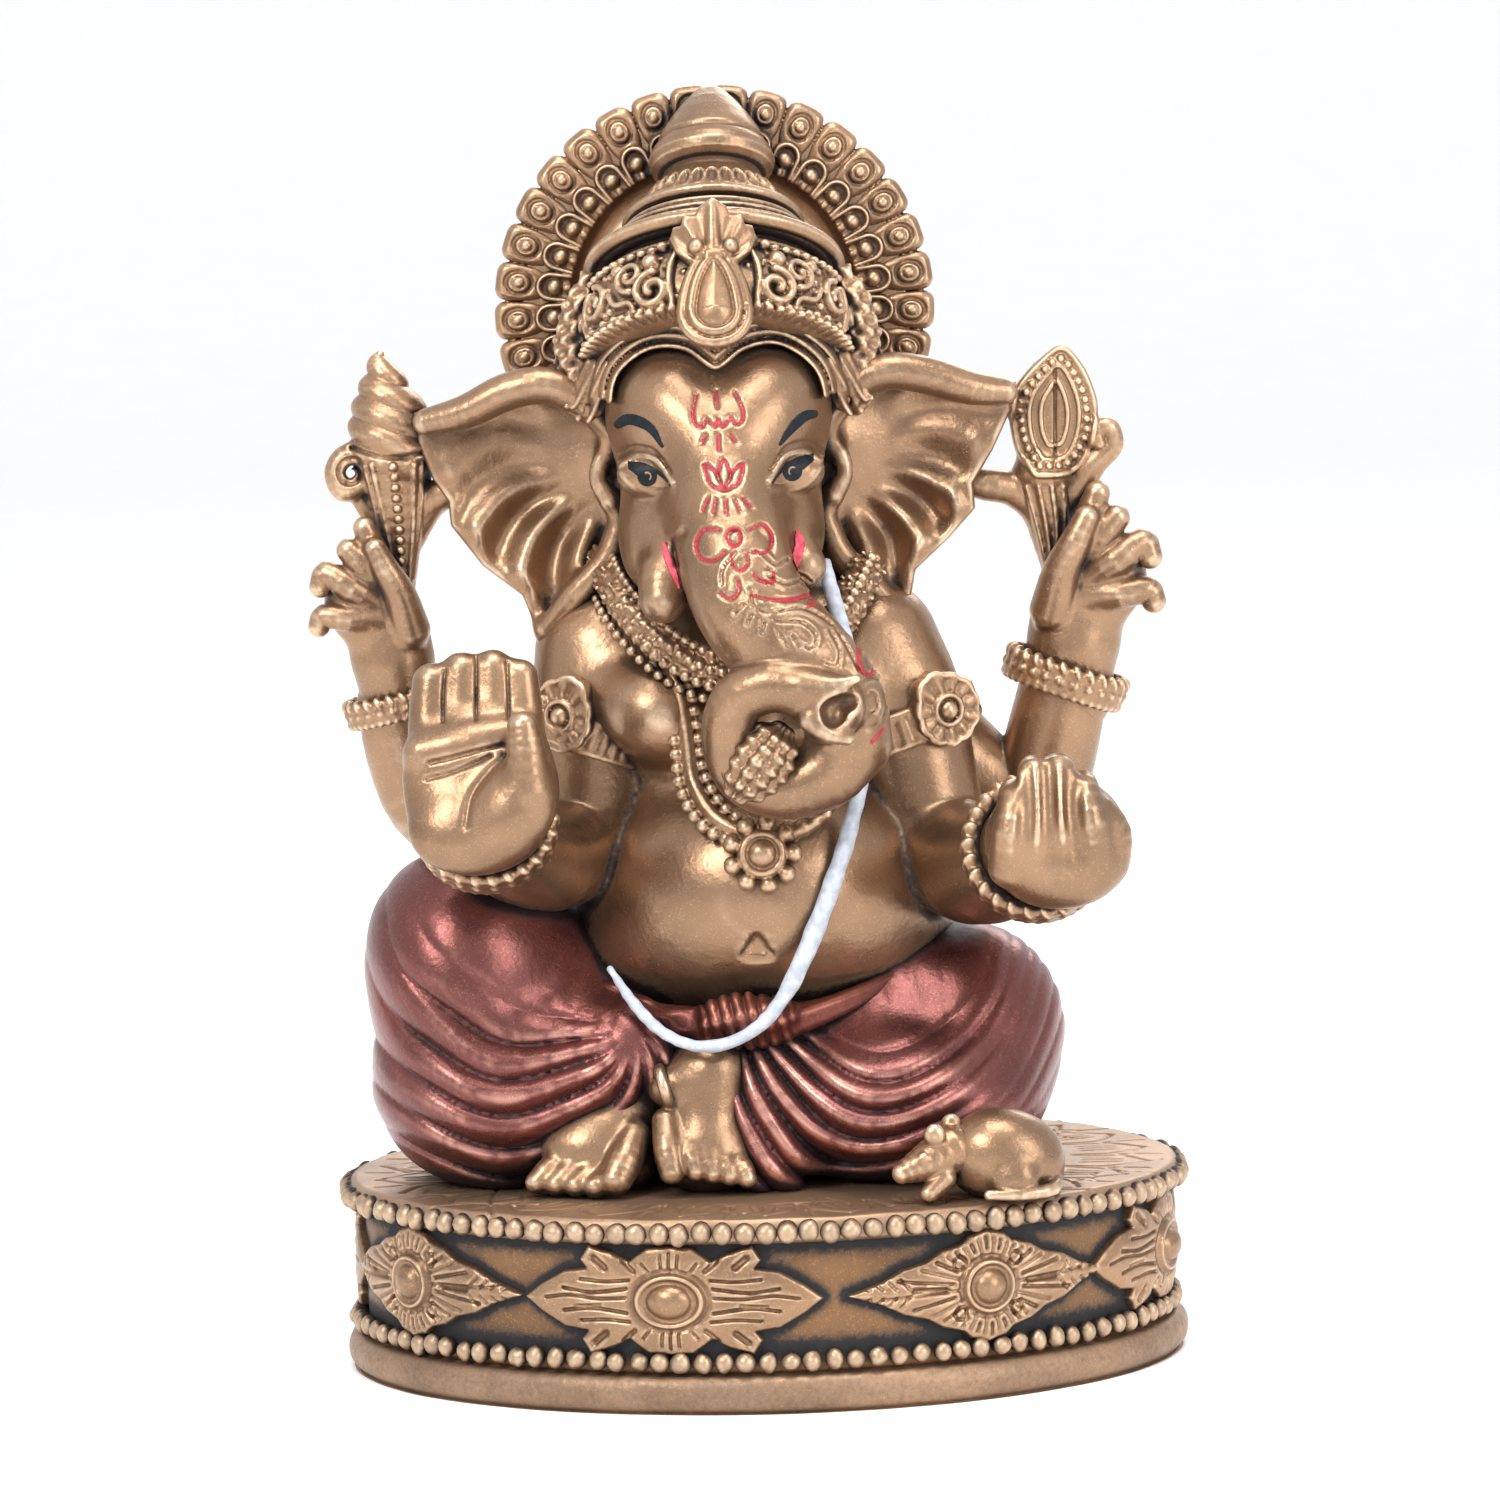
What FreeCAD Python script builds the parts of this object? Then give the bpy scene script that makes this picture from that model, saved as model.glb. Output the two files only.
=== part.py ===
"""Seated four-armed Ganesha figure on an oval plinth, as separate cast members. Millimetres, +Z up.

The origin is the centre of the plinth's underside. The figure faces -Y, and +X is the viewer's right.
"right" and "left" in names are the figure's own, so right_* members lie towards -X.
Each member is trimmed by the members seated in it, so neighbours meet face to face in real sockets.
"""

import FreeCAD, Part
import math
import os

V = FreeCAD.Vector

# Plinth
PLINTH_HALF_WIDTH = 50.5      # to the outside of the upper bead row
DEPTH_RATIO = 0.772           # the oval's depth over its width
PLINTH_HEIGHT = 22.5
FOOT_RADIUS, FOOT_HEIGHT = 49.9, 4.7
DRUM_RADIUS = 47.4
SLAB_RADIUS, SLAB_HEIGHT = 49.3, 2.9
UPPER_BEADS = (49.35, 20.9, 1.22, 112)   # path radius, height, bead radius, count
LOWER_BEADS = (48.35, 6.0, 1.12, 108)
MEDALLION_HEIGHT, MEDALLION_PROUD = 12.0, 1.3
MEDALLION_MID = 13.1
FIRST_MEDALLION_DEG = -13.3   # the front medallion stands this far round from the front

# Figure
MID_X = -2.7                  # the head's and halo's plane of symmetry
HALO_CENTRE = (-3.1, 16.5, 123.7)
HALO_RADIUS, HALO_THICKNESS = 24.6, 2.6
PETAL_PITCH_DEG = 10.9
CROWN_BASE = (-2.9, -0.6, 121.2)
CROWN_LEAN_DEG = 27.0         # how far the crown leans back towards the halo
HEAD_BALLS = [((MID_X, -4.0, 109.0), (13.3, 13.0, 11.8)),   # skull: centre, radii
              ((MID_X, -5.4, 98.6), (11.3, 11.0, 10.6)),    # cheeks
              ((MID_X - 4.8, -6.5, 113.0), (8.0, 10.6, 7.4)),   # the two brow bulges
              ((MID_X + 4.8, -6.5, 113.0), (8.0, 10.6, 7.4))]


# ---------------------------------------------------------------- shared shapes

def placed(shape, centre, axis=None, degrees=0.0):
    """The shape, turned about its own origin and then moved to centre."""
    if axis is not None:
        shape.rotate(V(0, 0, 0), V(*axis), degrees)
    shape.translate(V(*centre))
    return shape


def ellipsoid(centre, radii, axis=None, degrees=0.0):
    """A stretched ball, lofted from front to back, with a tiny flat at each of those two ends."""
    wires = []
    for latitude in (-80, -62, -40, -14, 14, 40, 62, 80):
        angle = math.radians(latitude)
        ring_at = V(0, math.sin(angle) / math.sin(math.radians(80)), 0)
        wires.append(Part.Wire(Part.makeCircle(math.cos(angle), ring_at, V(0, 1, 0))))
    scale = FreeCAD.Matrix()
    scale.scale(*radii)
    return placed(Part.makeLoft(wires, True, False).transformGeometry(scale), centre, axis, degrees)


def circle_wire(centre, normal, radius):
    return Part.Wire(Part.makeCircle(radius, centre, normal))


def union(shapes):
    whole = shapes[0]
    for shape in shapes[1:]:
        whole = whole.fuse(shape)
    return whole


def dome_sections(point, outward, radius):
    """Shrinking circles that round off a limb's end, as (centre, radius) from the rim outwards."""
    angles = [math.radians(a) for a in (30, 56, 78)]
    return [(point + outward * radius * math.sin(a), radius * math.cos(a)) for a in angles]


def limb(stations, rounded=(True, True)):
    """A round tube through (x, y, z, radius) stations, with domed ends where rounded says so."""
    points = [V(*s[:3]) for s in stations]
    steps = [(b - a).normalize() for a, b in zip(points, points[1:])]
    along = [steps[0]] + [(a + b).normalize() for a, b in zip(steps, steps[1:])] + [steps[-1]]
    sections = [(p, t, s[3]) for p, t, s in zip(points, along, stations)]
    if rounded[0]:
        dome = dome_sections(points[0], steps[0] * -1, stations[0][3])
        sections = [(c, steps[0], r) for c, r in reversed(dome)] + sections
    if rounded[1]:
        dome = dome_sections(points[-1], steps[-1], stations[-1][3])
        sections += [(c, steps[-1], r) for c, r in dome]
    side = steps[0].cross(V(0.31, 0.87, 0.38)).normalize()
    wires = []
    for centre, normal, radius in sections:
        side = (side - normal * side.dot(normal)).normalize()
        circle = Part.Wire(Part.makeCircle(radius))
        circle.Placement = FreeCAD.Placement(centre,
                                             FreeCAD.Rotation(side, normal.cross(side), normal, "ZXY"))
        wires.append(circle)
    return Part.makeLoft(wires, True, False)


def turned(profile, ratio=1.0):
    """A solid of revolution about Z from (radius, height) points, squeezed to an oval by ratio."""
    points = [V(r, 0, z) for r, z in profile]
    wire = Part.makePolygon(points + [points[0]])
    solid = Part.Face(wire).revolve(V(0, 0, 0), V(0, 0, 1), 360)
    if ratio == 1.0:
        return solid
    scale = FreeCAD.Matrix()
    scale.scale(1.0, ratio, 1.0)
    return solid.transformGeometry(scale)


def oval_prism(radius, low, high):
    """An upright oval cylinder with the plinth's proportions."""
    ellipse = Part.Ellipse(V(0, 0, low), radius, radius * DEPTH_RATIO)
    return Part.Face(Part.Wire(ellipse.toShape())).extrude(V(0, 0, high - low))


def plate(outline, front, thickness):
    """A flat plate in the XZ plane from a closed smooth outline of (x, z) points."""
    curve = Part.BSplineCurve()
    curve.interpolate([V(x, front, z) for x, z in outline], PeriodicFlag=True)
    return Part.Face(Part.Wire(curve.toShape())).extrude(V(0, thickness, 0))


def ring(centre, radius, thickness, axis, degrees):
    return placed(Part.makeTorus(radius, thickness), centre, axis, degrees)


# ---------------------------------------------------------------- plinth

def oval_point(radius, angle):
    return V(radius * math.sin(angle), -radius * DEPTH_RATIO * math.cos(angle), 0)


def oval_steps(radius, count):
    """Angles that step evenly along the oval's edge."""
    fine = 4000
    angles = [2 * math.pi * i / fine for i in range(fine + 1)]
    lengths = [0.0]
    for a, b in zip(angles, angles[1:]):
        lengths.append(lengths[-1] + (oval_point(radius, b) - oval_point(radius, a)).Length)
    steps, i = [], 0
    for k in range(count):
        while lengths[i] < lengths[-1] * k / count:
            i += 1
        steps.append(angles[i])
    return steps


def plinth_foot():
    """The moulded foot, sliced off level so that it stands on a true plane."""
    r, h = FOOT_RADIUS, FOOT_HEIGHT
    moulding = turned([(0, -1), (r - 2.4, -1), (r - 0.3, 1.1), (r, 2.2), (r - 0.4, 3.6), (r - 1.3, h),
                       (0, h)],
                      DEPTH_RATIO)
    under = Part.makeBox(4 * r, 4 * r, 4 * h, V(-2 * r, -2 * r, -4 * h))
    return moulding.cut(under)


def plinth_drum():
    r, low, high = DRUM_RADIUS, FOOT_HEIGHT, PLINTH_HEIGHT - SLAB_HEIGHT
    return turned([(0, low), (r, low), (r, high), (0, high)], DEPTH_RATIO)


def plinth_slab():
    r, low, high = SLAB_RADIUS, PLINTH_HEIGHT - SLAB_HEIGHT, PLINTH_HEIGHT
    return turned([(0, low), (r - 0.6, low), (r, low + 0.6), (r, high - 0.5), (r - 0.5, high), (0, high)],
                  DEPTH_RATIO)


def bead_row(row, wall_radius):
    """Half-round beads standing on the plinth's wall, one solid each."""
    radius, height, bead, count = row
    backing = math.degrees(math.asin((radius - wall_radius) / bead))
    beads = []
    for angle in oval_steps(radius, count):
        at = oval_point(radius, angle)
        outward = V(math.sin(angle) * DEPTH_RATIO, -math.cos(angle), 0)
        beads.append(Part.makeSphere(bead, V(at.x, at.y, height), outward, -backing, 90, 360))
    return Part.makeCompound(beads)


def medallion(angle_deg, half_outline, boss):
    """A relief plate on the drum's wall. half_outline is its right half, as (across, up) points."""
    angle = math.radians(angle_deg)
    foot = oval_point(DRUM_RADIUS, angle)
    normal = V(math.sin(angle) * DEPTH_RATIO, -math.cos(angle), 0).normalize()
    across = V(-normal.y, normal.x, 0)
    full = half_outline + [(-x, z) for x, z in reversed(half_outline) if abs(x) > 1e-6]
    start = foot - normal * 8
    corners = [start + across * x + V(0, 0, MEDALLION_MID + z) for x, z in full]
    blank = Part.Face(Part.makePolygon(corners + [corners[0]])).extrude(normal * 14)
    skin = oval_prism(DRUM_RADIUS + MEDALLION_PROUD, 5, 21).cut(oval_prism(DRUM_RADIUS, 4, 22))
    relief = blank.common(skin)
    knob = ellipsoid((0, 0, 0), (boss[0], boss[1], 1.6))
    turn = FreeCAD.Rotation(across, V(0, 0, 1), normal, "ZXY")
    knob.Placement = FreeCAD.Placement(foot + normal * MEDALLION_PROUD + V(0, 0, MEDALLION_MID), turn)
    return relief.fuse(knob.cut(oval_prism(DRUM_RADIUS, 4, 22)))


def flower_outline():
    """The wide lobed medallion: pointed side lobes, split corner leaves, blunt lobes above and below."""
    top = MEDALLION_HEIGHT / 2
    upper = [(0, top), (3.2, top - 0.3), (4.6, top - 1.7), (9.0, top - 0.4), (9.6, top - 2.6),
             (12.6, 2.6), (17.2, 0)]
    return upper + [(x, -z) for x, z in reversed(upper[:-1])]


def diamond_outline():
    top = MEDALLION_HEIGHT / 2 + 0.2
    return [(0, top), (2.6, top - 0.5), (8.6, 2.8), (16.2, 0), (8.6, -2.8), (2.6, 0.5 - top), (0, -top)]


# ---------------------------------------------------------------- seated legs and garment

def right_leg():
    return union([ellipsoid((-32.6, -2.5, 47.0), (13.7, 15.5, 14.5)),
                  ellipsoid((-29.0, -3.0, 35.5), (15.3, 17.5, 14.0)),
                  ellipsoid((-15.0, 3.0, 37.0), (13.0, 14.0, 13.0))]).cut(below_slab())


def left_leg():
    return union([ellipsoid((16.0, -6.0, 34.5), (19.3, 18.0, 13.4)),
                  ellipsoid((24.5, 2.5, 38.0), (10.6, 14.0, 12.6))]).cut(below_slab())


def dhoti_seat():
    return ellipsoid((-1.5, 10.0, 34.0), (26.0, 15.0, 16.0)).cut(below_slab())


def waist_sash():
    return limb([(-17, -12.0, 45.5, 2.2), (-9, -17.4, 42.6, 2.4), (-1, -19.0, 42.3, 2.5),
                 (7, -17.6, 43.8, 2.3), (15, -12.5, 46.0, 2.0), (21, -5.0, 48.0, 1.8)])


def right_foot():
    toes = [limb([(-21.5 + 1.9 * i, -16.5 - 0.5 * i, 27.5, 1.5),
                  (-25.4 + 2.1 * i, -19.0 - 0.5 * i, 24.7, 1.35)])
            for i in range(4)]
    big_toe = limb([(-14.6, -18.0, 28.5, 2.2), (-16.2, -21.4, 25.2, 1.9)])
    sole = union([ellipsoid((-18.6, -16.2, 26.6), (7.2, 5.0, 4.4)),
                  limb([(-18, -15, 28, 4.6), (-12.6, -11.5, 35, 4.2)])])
    return union([sole, big_toe] + toes).cut(below_slab())


def left_foot():
    toes = [limb([(-9.4 + 2.1 * i, -20.2, 29.6 - 0.9 * i, 1.4),
                  (-7.6 + 2.0 * i, -22.2, 26.4 - 0.5 * i, 1.3)])
            for i in range(4)]
    sole = union([ellipsoid((-6.3, -17.6, 26.2), (5.6, 4.6, 4.4)),
                  limb([(-6.4, -17, 28, 4.4), (-4.2, -15, 37, 4.4)])])
    ankle = Part.makeSphere(2.5, V(-11.0, -18.8, 34.8))
    heel = limb([(-11.0, -18.0, 34.8, 2.3), (-6.0, -15.5, 35.5, 3.6)])
    return union([sole, ankle, heel] + toes).cut(below_slab())


def below_slab():
    return Part.makeBox(140, 140, 40, V(-70, -70, PLINTH_HEIGHT - 40))


# ---------------------------------------------------------------- torso and arms

def torso():
    return union([ellipsoid((0.7, -0.5, 56.0), (20.0, 19.3, 16.5)),
                  ellipsoid((-1.8, 3.0, 74.0), (18.0, 14.0, 14.5)),
                  ellipsoid((-2.0, 3.0, 83.5), (17.5, 9.5, 8.0)),
                  ellipsoid((-2.4, 0.0, 91.0), (9.5, 9.5, 8.0))])


def right_front_arm():
    return limb([(-17.8, 1.5, 82.0, 8.0), (-18.4, 0.0, 72.5, 6.6), (-20.0, -2.5, 62.5, 6.2),
                 (-25.0, -9.5, 60.5, 6.2), (-30.5, -19.5, 64.5, 6.4), (-31.0, -23.5, 67.5, 5.6)])


def left_front_arm():
    return limb([(14.6, 1.5, 82.0, 8.4), (18.0, 0.0, 73.0, 7.4), (20.6, -2.0, 62.5, 6.9),
                 (25.0, -9.0, 58.5, 6.8), (31.5, -19.5, 61.0, 6.8), (33.0, -23.5, 63.0, 5.8)])


def right_rear_arm():
    return limb([(-17.0, 7.0, 80.0, 6.4), (-27.5, 8.0, 70.0, 5.8), (-36.5, 7.5, 63.0, 5.5),
                 (-39.6, 6.5, 68.5, 4.9), (-42.4, 6.0, 77.0, 4.4)])


def left_rear_arm():
    return limb([(14.5, 7.0, 80.0, 6.4), (23.5, 8.0, 69.5, 6.0), (32.0, 7.5, 62.5, 5.8),
                 (34.6, 6.5, 69.0, 5.6), (37.2, 6.0, 79.0, 5.3)])


def right_front_hand():
    """The raised open palm, fingers together and thumb folded across it."""
    palm = ellipsoid((-31.1, -25.3, 71.0), (8.3, 4.6, 9.2))
    fingers = [limb([(x - 0.4, -26.2, 74.0, 2.25), (x, -27.0, top, 1.95)])
               for x, top in ((-36.2, 84.0), (-32.9, 86.6), (-29.4, 86.8), (-26.2, 84.8))]
    thumb = limb([(-26.0, -27.5, 68.5, 3.0), (-25.4, -29.2, 76.2, 1.7)])
    return union([palm, thumb] + fingers)


def left_front_hand():
    """The lowered hand, knuckles to the front."""
    back = ellipsoid((33.8, -26.5, 63.6), (8.0, 4.6, 6.8))
    fingers = [limb([(x0, -27.6, z0, 2.3), (x1, -28.2, z1, 1.9)])
               for x0, z0, x1, z1 in ((29.6, 62.0, 28.2, 68.4), (33.0, 62.5, 31.0, 71.0),
                                      (36.5, 62.5, 34.6, 71.0), (39.6, 63.0, 38.2, 69.6))]
    return union([back] + fingers)


def right_rear_hand():
    """A closed fist with the forefinger along the emblem's stem."""
    palm = union([ellipsoid((-42.6, 5.0, 85.6), (5.2, 4.4, 6.6)),
                  limb([(-42.4, 6.0, 79.0, 4.2), (-42.4, 5.5, 84.0, 4.6)])])
    thumb = limb([(-40.6, 2.2, 88.0, 2.0), (-43.2, 1.2, 95.2, 1.6)])
    fingers = [limb([(x0, 2.6, z0, 1.9), (x1, 0.8, z1, 1.7)])
               for x0, z0, x1, z1 in ((-43.6, 94.6, -44.8, 98.8), (-44.2, 91.6, -46.6, 94.6),
                                      (-45.0, 88.6, -49.2, 91.4), (-45.8, 85.6, -49.8, 86.8))]
    return union([palm, thumb] + fingers)


def left_rear_hand():
    palm = union([ellipsoid((38.6, 5.0, 86.0), (6.6, 4.6, 7.0)),
                  limb([(37.6, 6.0, 80.0, 5.0), (38.2, 5.5, 85.0, 5.2)])])
    thumb = limb([(35.6, 2.4, 87.4, 2.3), (38.4, 1.4, 93.8, 1.6)])
    fingers = [limb([(x0, 2.6, z0, 1.9), (x1, 0.8, z1, 1.8)])
               for x0, z0, x1, z1 in ((39.2, 93.0, 40.6, 97.0), (41.0, 90.0, 43.2, 94.6),
                                      (43.0, 88.6, 45.4, 93.0), (44.2, 87.0, 47.6, 92.0),
                                      (42.8, 85.2, 47.2, 86.6))]
    return union([palm, thumb] + fingers)


def bracelets():
    """The four wrist rings, by node name."""
    return {
        "right_front_bracelet": ring((-31.0, -20.3, 66.6), 7.9, 1.5, (1, 0, 0), 64),
        "left_front_bracelet": ring((32.3, -20.6, 61.8), 7.9, 1.5, (1, 0, 0), 72),
        "right_rear_bracelet": ring((-42.3, 6.0, 77.6), 5.0, 1.1, (0, 1, 0), -12),
        "left_rear_bracelet": ring((37.3, 6.0, 78.8), 6.5, 1.4, (0, 1, 0), 20),
    }


def armlets():
    """A band round each front upper arm with a rosette plate on its outer face."""
    def plate_of(centre, radius, axis, degrees):
        return placed(Part.makeCylinder(radius, 1.8, V(0, 0, -0.9)), centre, axis, degrees)
    return {
        "right_armlet": union([ring((-18.3, 0.0, 73.5), 6.4, 1.3, (0, 1, 0), -12),
                               plate_of((-16.4, -6.6, 71.8), 4.4, (1, 0, 0), 90)]),
        "left_armlet": union([ring((17.6, -0.2, 74.0), 7.1, 1.2, (0, 1, 0), 24),
                              plate_of((22.0, -6.0, 76.6), 4.6, (1, 0, 0), 75)]),
    }


# ---------------------------------------------------------------- emblems

def right_emblem():
    """A spiral shell on a curved, beaded stem with a side curl."""
    stem = limb([(-41.2, 6.0, 84.0, 1.8), (-41.0, 6.0, 94.0, 2.6), (-41.0, 6.0, 103.0, 4.2),
                 (-41.4, 6.0, 108.4, 4.6)])
    shell = limb([(-41.3, 6.0, 107.5, 5.2), (-41.5, 6.0, 109.5, 5.1), (-41.8, 6.0, 112.0, 4.3),
                  (-42.2, 6.0, 114.5, 3.2), (-42.6, 6.0, 117.0, 1.9)])
    curl = limb([(-42.5, 6.0, 105.0, 1.8), (-46.4, 5.6, 105.6, 2.2)])
    strut = limb([(-40.0, 6.0, 96.0, 1.6), (-34.0, 3.0, 104.5, 1.4)])
    return union([stem, shell, curl, strut])


def left_emblem():
    """A pointed blade with a beaded border on a tapering socket, with a side hook."""
    blade = plate([(34.6, 101.5), (31.6, 106.0), (31.5, 111.6), (34.2, 115.6), (38.2, 118.1),
                   (41.0, 113.8), (41.1, 108.4), (39.8, 103.0), (37.6, 101.4)], 4.2, 3.6)
    socket = limb([(36.8, 6.0, 84.0, 1.6), (36.4, 6.0, 93.0, 2.4), (35.6, 6.0, 101.6, 4.0)])
    hook = limb([(39.4, 6.0, 98.6, 1.3), (41.0, 5.6, 103.4, 1.5), (41.2, 5.4, 106.6, 1.9)])
    strut = limb([(35.8, 6.0, 96.0, 1.3), (31.0, 4.6, 101.0, 1.4), (28.0, 3.0, 103.0, 1.4)])
    return union([blade, socket, hook, strut])


# ---------------------------------------------------------------- head

def head():
    return union([ellipsoid(centre, radii) for centre, radii in HEAD_BALLS])


def face_point(across, height, proud=0.0):
    """The point on the front of the head at this distance from its mid-plane and this height."""
    depths = []
    for (x, y, z), (rx, ry, rz) in HEAD_BALLS:
        left = 1 - ((MID_X + across - x) / rx) ** 2 - ((height - z) / rz) ** 2
        if left > 0:
            depths.append(y - ry * math.sqrt(left))
    return (MID_X + across, min(depths) - proud, height)


def eyes():
    return Part.makeCompound([ellipsoid(face_point(side * 8.5, 105.7, -0.4), (2.5, 1.3, 1.4))
                              for side in (-1, 1)])


def face_strokes(strokes, radius):
    """Raised painted strokes that follow the head's surface, one solid each."""
    made = []
    for stroke in strokes:
        points = [V(*face_point(across, height)) for across, height in stroke]
        path = Part.BSplineCurve()
        path.interpolate(points)
        start = circle_wire(points[0], path.tangent(path.FirstParameter)[0], radius)
        made.append(Part.Wire(path.toShape()).makePipeShell([start], True, True))
    return Part.makeCompound(made)


def brows():
    half = [(5.2, 109.0), (7.4, 110.6), (10.2, 110.4)]
    return face_strokes([[(side * a, h) for a, h in half] for side in (-1, 1)], 0.45)


def forehead_mark():
    """A plain three-pronged mark: an upright between two curved prongs."""
    prongs = [[(side * 0.9, 110.2), (side * 2.6, 111.2), (side * 3.2, 113.4), (side * 2.9, 115.6)]
              for side in (-1, 1)]
    return face_strokes(prongs + [[(0, 110.6), (0, 113.2), (0, 115.6)]], 0.38)


def lips():
    """The corners of the mouth, either side of the trunk."""
    return Part.makeCompound([ellipsoid(face_point(side * 7.8, 95.6), (0.9, 1.1, 2.4), (0, 1, 0), side * 25)
                              for side in (-1, 1)])


def trunk():
    """Down from between the eyes, out to the figure's left, and round into a closed curl."""
    root = limb([(MID_X, -10.2, 106.0, 5.6), (-2.4, -15.0, 101.5, 6.6), (-1.2, -19.5, 95.5, 6.6),
                 (2.0, -22.5, 88.6, 6.2), (7.2, -23.8, 83.2, 5.6), (11.0, -24.0, 77.6, 5.1),
                 (10.6, -24.0, 72.2, 4.7)])
    curl = limb([(10.6, -24.0, 72.2, 4.7), (5.4, -24.6, 69.2, 4.2), (-0.2, -25.4, 70.8, 3.6),
                 (-3.2, -26.2, 75.2, 3.2), (-2.4, -27.0, 80.2, 3.0), (1.6, -27.6, 82.6, 2.8),
                 (5.8, -28.0, 81.6, 2.4)])
    return union([root, curl])


def trunk_sweet():
    """The ribbed sweet held in the curl of the trunk."""
    return ellipsoid((0.4, -28.0, 74.6), (4.4, 3.0, 5.2), (0, 1, 0), 35)


def tusk(side):
    root = V(MID_X + side * 5.8, -13.0, 97.0)
    return limb([(root.x, root.y, root.z, 2.4), (MID_X + side * 7.4, -15.6, 93.6, 2.3),
                 (MID_X + side * 7.0, -17.2, 90.6, 1.8)])


def ear(side):
    """A flat lobed flap with a thick rolled upper edge."""
    outline = [(15.2, 114.2), (19.5, 117.3), (25.0, 117.2), (30.5, 113.8), (34.4, 113.0), (34.2, 109.6),
               (30.2, 104.4), (29.4, 99.6), (26.0, 94.4), (21.6, 90.2), (20.2, 86.4), (16.4, 88.8),
               (11.6, 93.6), (10.8, 101.0), (12.0, 108.0)]
    flap = plate([(MID_X + side * x, z) for x, z in outline], -0.4, 2.8)
    roll = limb([(MID_X + side * 13.6, -1.4, 110.6, 1.9), (MID_X + side * 17.6, -1.6, 114.8, 2.1),
                 (MID_X + side * 23.0, -1.4, 115.6, 2.1), (MID_X + side * 28.6, -1.0, 112.6, 1.9),
                 (MID_X + side * 33.0, -0.4, 111.2, 1.5)])
    return union([flap, roll])


# ---------------------------------------------------------------- crown and halo

def crown_frame(shape):
    """Stands a shape made about Z on the crown's leaning axis."""
    return placed(shape, CROWN_BASE, (1, 0, 0), -CROWN_LEAN_DEG)


def crown_diadem():
    """The deep front band, up to the first brim."""
    return crown_frame(turned([(0, -7.0), (15.6, -7.0), (16.6, -2.0), (15.4, 4.0), (12.4, 8.0), (0, 8.0)]))


def crown_lower_brim():
    return crown_frame(turned([(0, 8.0), (12.0, 8.0), (14.4, 7.2), (14.7, 8.2), (12.2, 10.6),
                               (9.0, 13.6), (0, 13.6)]))


def crown_upper_brim():
    return crown_frame(turned([(0, 13.6), (8.4, 13.6), (9.8, 13.4), (9.9, 14.3), (7.6, 16.4),
                               (5.4, 20.2), (0, 20.2)]))


def crown_finial():
    return crown_frame(turned([(0, 20.2), (5.0, 20.2), (7.0, 20.8), (7.3, 22.4), (6.5, 24.0),
                               (5.2, 26.8), (3.2, 29.6), (1.2, 31.4), (0, 31.8)]))


def crown_crest():
    """The front jewel: a teardrop stone under a leaf tip."""
    stone = ellipsoid((MID_X - 0.3, -16.2, 124.6), (3.4, 2.0, 4.6), (1, 0, 0), -14)
    leaf = ellipsoid((MID_X - 0.2, -11.8, 133.8), (3.2, 1.6, 3.6), (1, 0, 0), -22)
    stem = limb([(MID_X - 0.3, -14.6, 128.0, 1.6), (MID_X - 0.2, -12.6, 132.0, 1.4)])
    return union([stone, leaf, stem])


def hair_band():
    """The ribbed hairline band, dipping to a point over the brow."""
    stations = [(12.6, -3.5, 113.6), (11.4, -9.0, 117.4), (7.6, -13.8, 119.6), (3.4, -16.4, 119.2),
                (0.0, -17.2, 118.0)]
    half = [(MID_X + x, y, z, 1.8) for x, y, z in stations]
    other = [(MID_X - x, y, z, 1.8) for x, y, z in reversed(stations[:-1])]
    return limb(half + other)


def side_ornament(side):
    """The pierced jewel in front of the ear, under the crown's edge."""
    return limb([(MID_X + side * 14.6, -3.0, 114.2, 2.3), (MID_X + side * 16.2, -1.6, 119.0, 2.5),
                 (MID_X + side * 15.8, -0.6, 124.0, 2.0)])


def on_halo(radius, angle_deg, forward=0.0):
    a = math.radians(angle_deg)
    x, y, z = HALO_CENTRE
    return V(x + radius * math.cos(a), y - forward, z + radius * math.sin(a))


def halo_disc():
    """The dished back plate."""
    disc = placed(Part.makeCylinder(21.6, HALO_THICKNESS), HALO_CENTRE, (1, 0, 0), -90)
    bowl = placed(Part.makeCylinder(16.2, 1.0), (HALO_CENTRE[0], HALO_CENTRE[1] - 0.01, HALO_CENTRE[2]),
                  (1, 0, 0), -90)
    return disc.cut(bowl)


def petal_angles():
    first = 90 - 11.5 * PETAL_PITCH_DEG
    return [first + PETAL_PITCH_DEG * (k + 0.5) for k in range(23)]


def halo_outer_petals():
    """The scalloped outer row, each petal with a round boss."""
    petals = []
    for angle in petal_angles():
        body = Part.makeCylinder(2.2, 2.4, on_halo(23.9, angle), V(0, 1, 0))
        inner = Part.makeBox(2.6, 2.4, 3.9, V(0, 0, -1.95))
        inner.rotate(V(0, 0, 0), V(0, 1, 0), -angle)
        inner.translate(on_halo(21.6, angle))
        boss = Part.makeSphere(0.75, on_halo(23.6, angle, 0.1))
        petals.append(union([body, inner, boss]))
    return petals


def halo_inner_petals():
    """The raised inner row, each a domed bead on a small plate."""
    return [union([Part.makeCylinder(1.75, 1.3, on_halo(19.5, a, 1.3), V(0, 1, 0)),
                   Part.makeSphere(1.15, on_halo(19.4, a, 1.5))]) for a in petal_angles()]


# ---------------------------------------------------------------- jewellery and thread

def collar():
    """The thick granulated collar round the neck."""
    return ring((MID_X, -3.4, 87.4), 12.6, 2.3, (1, 0, 0), 24)


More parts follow.
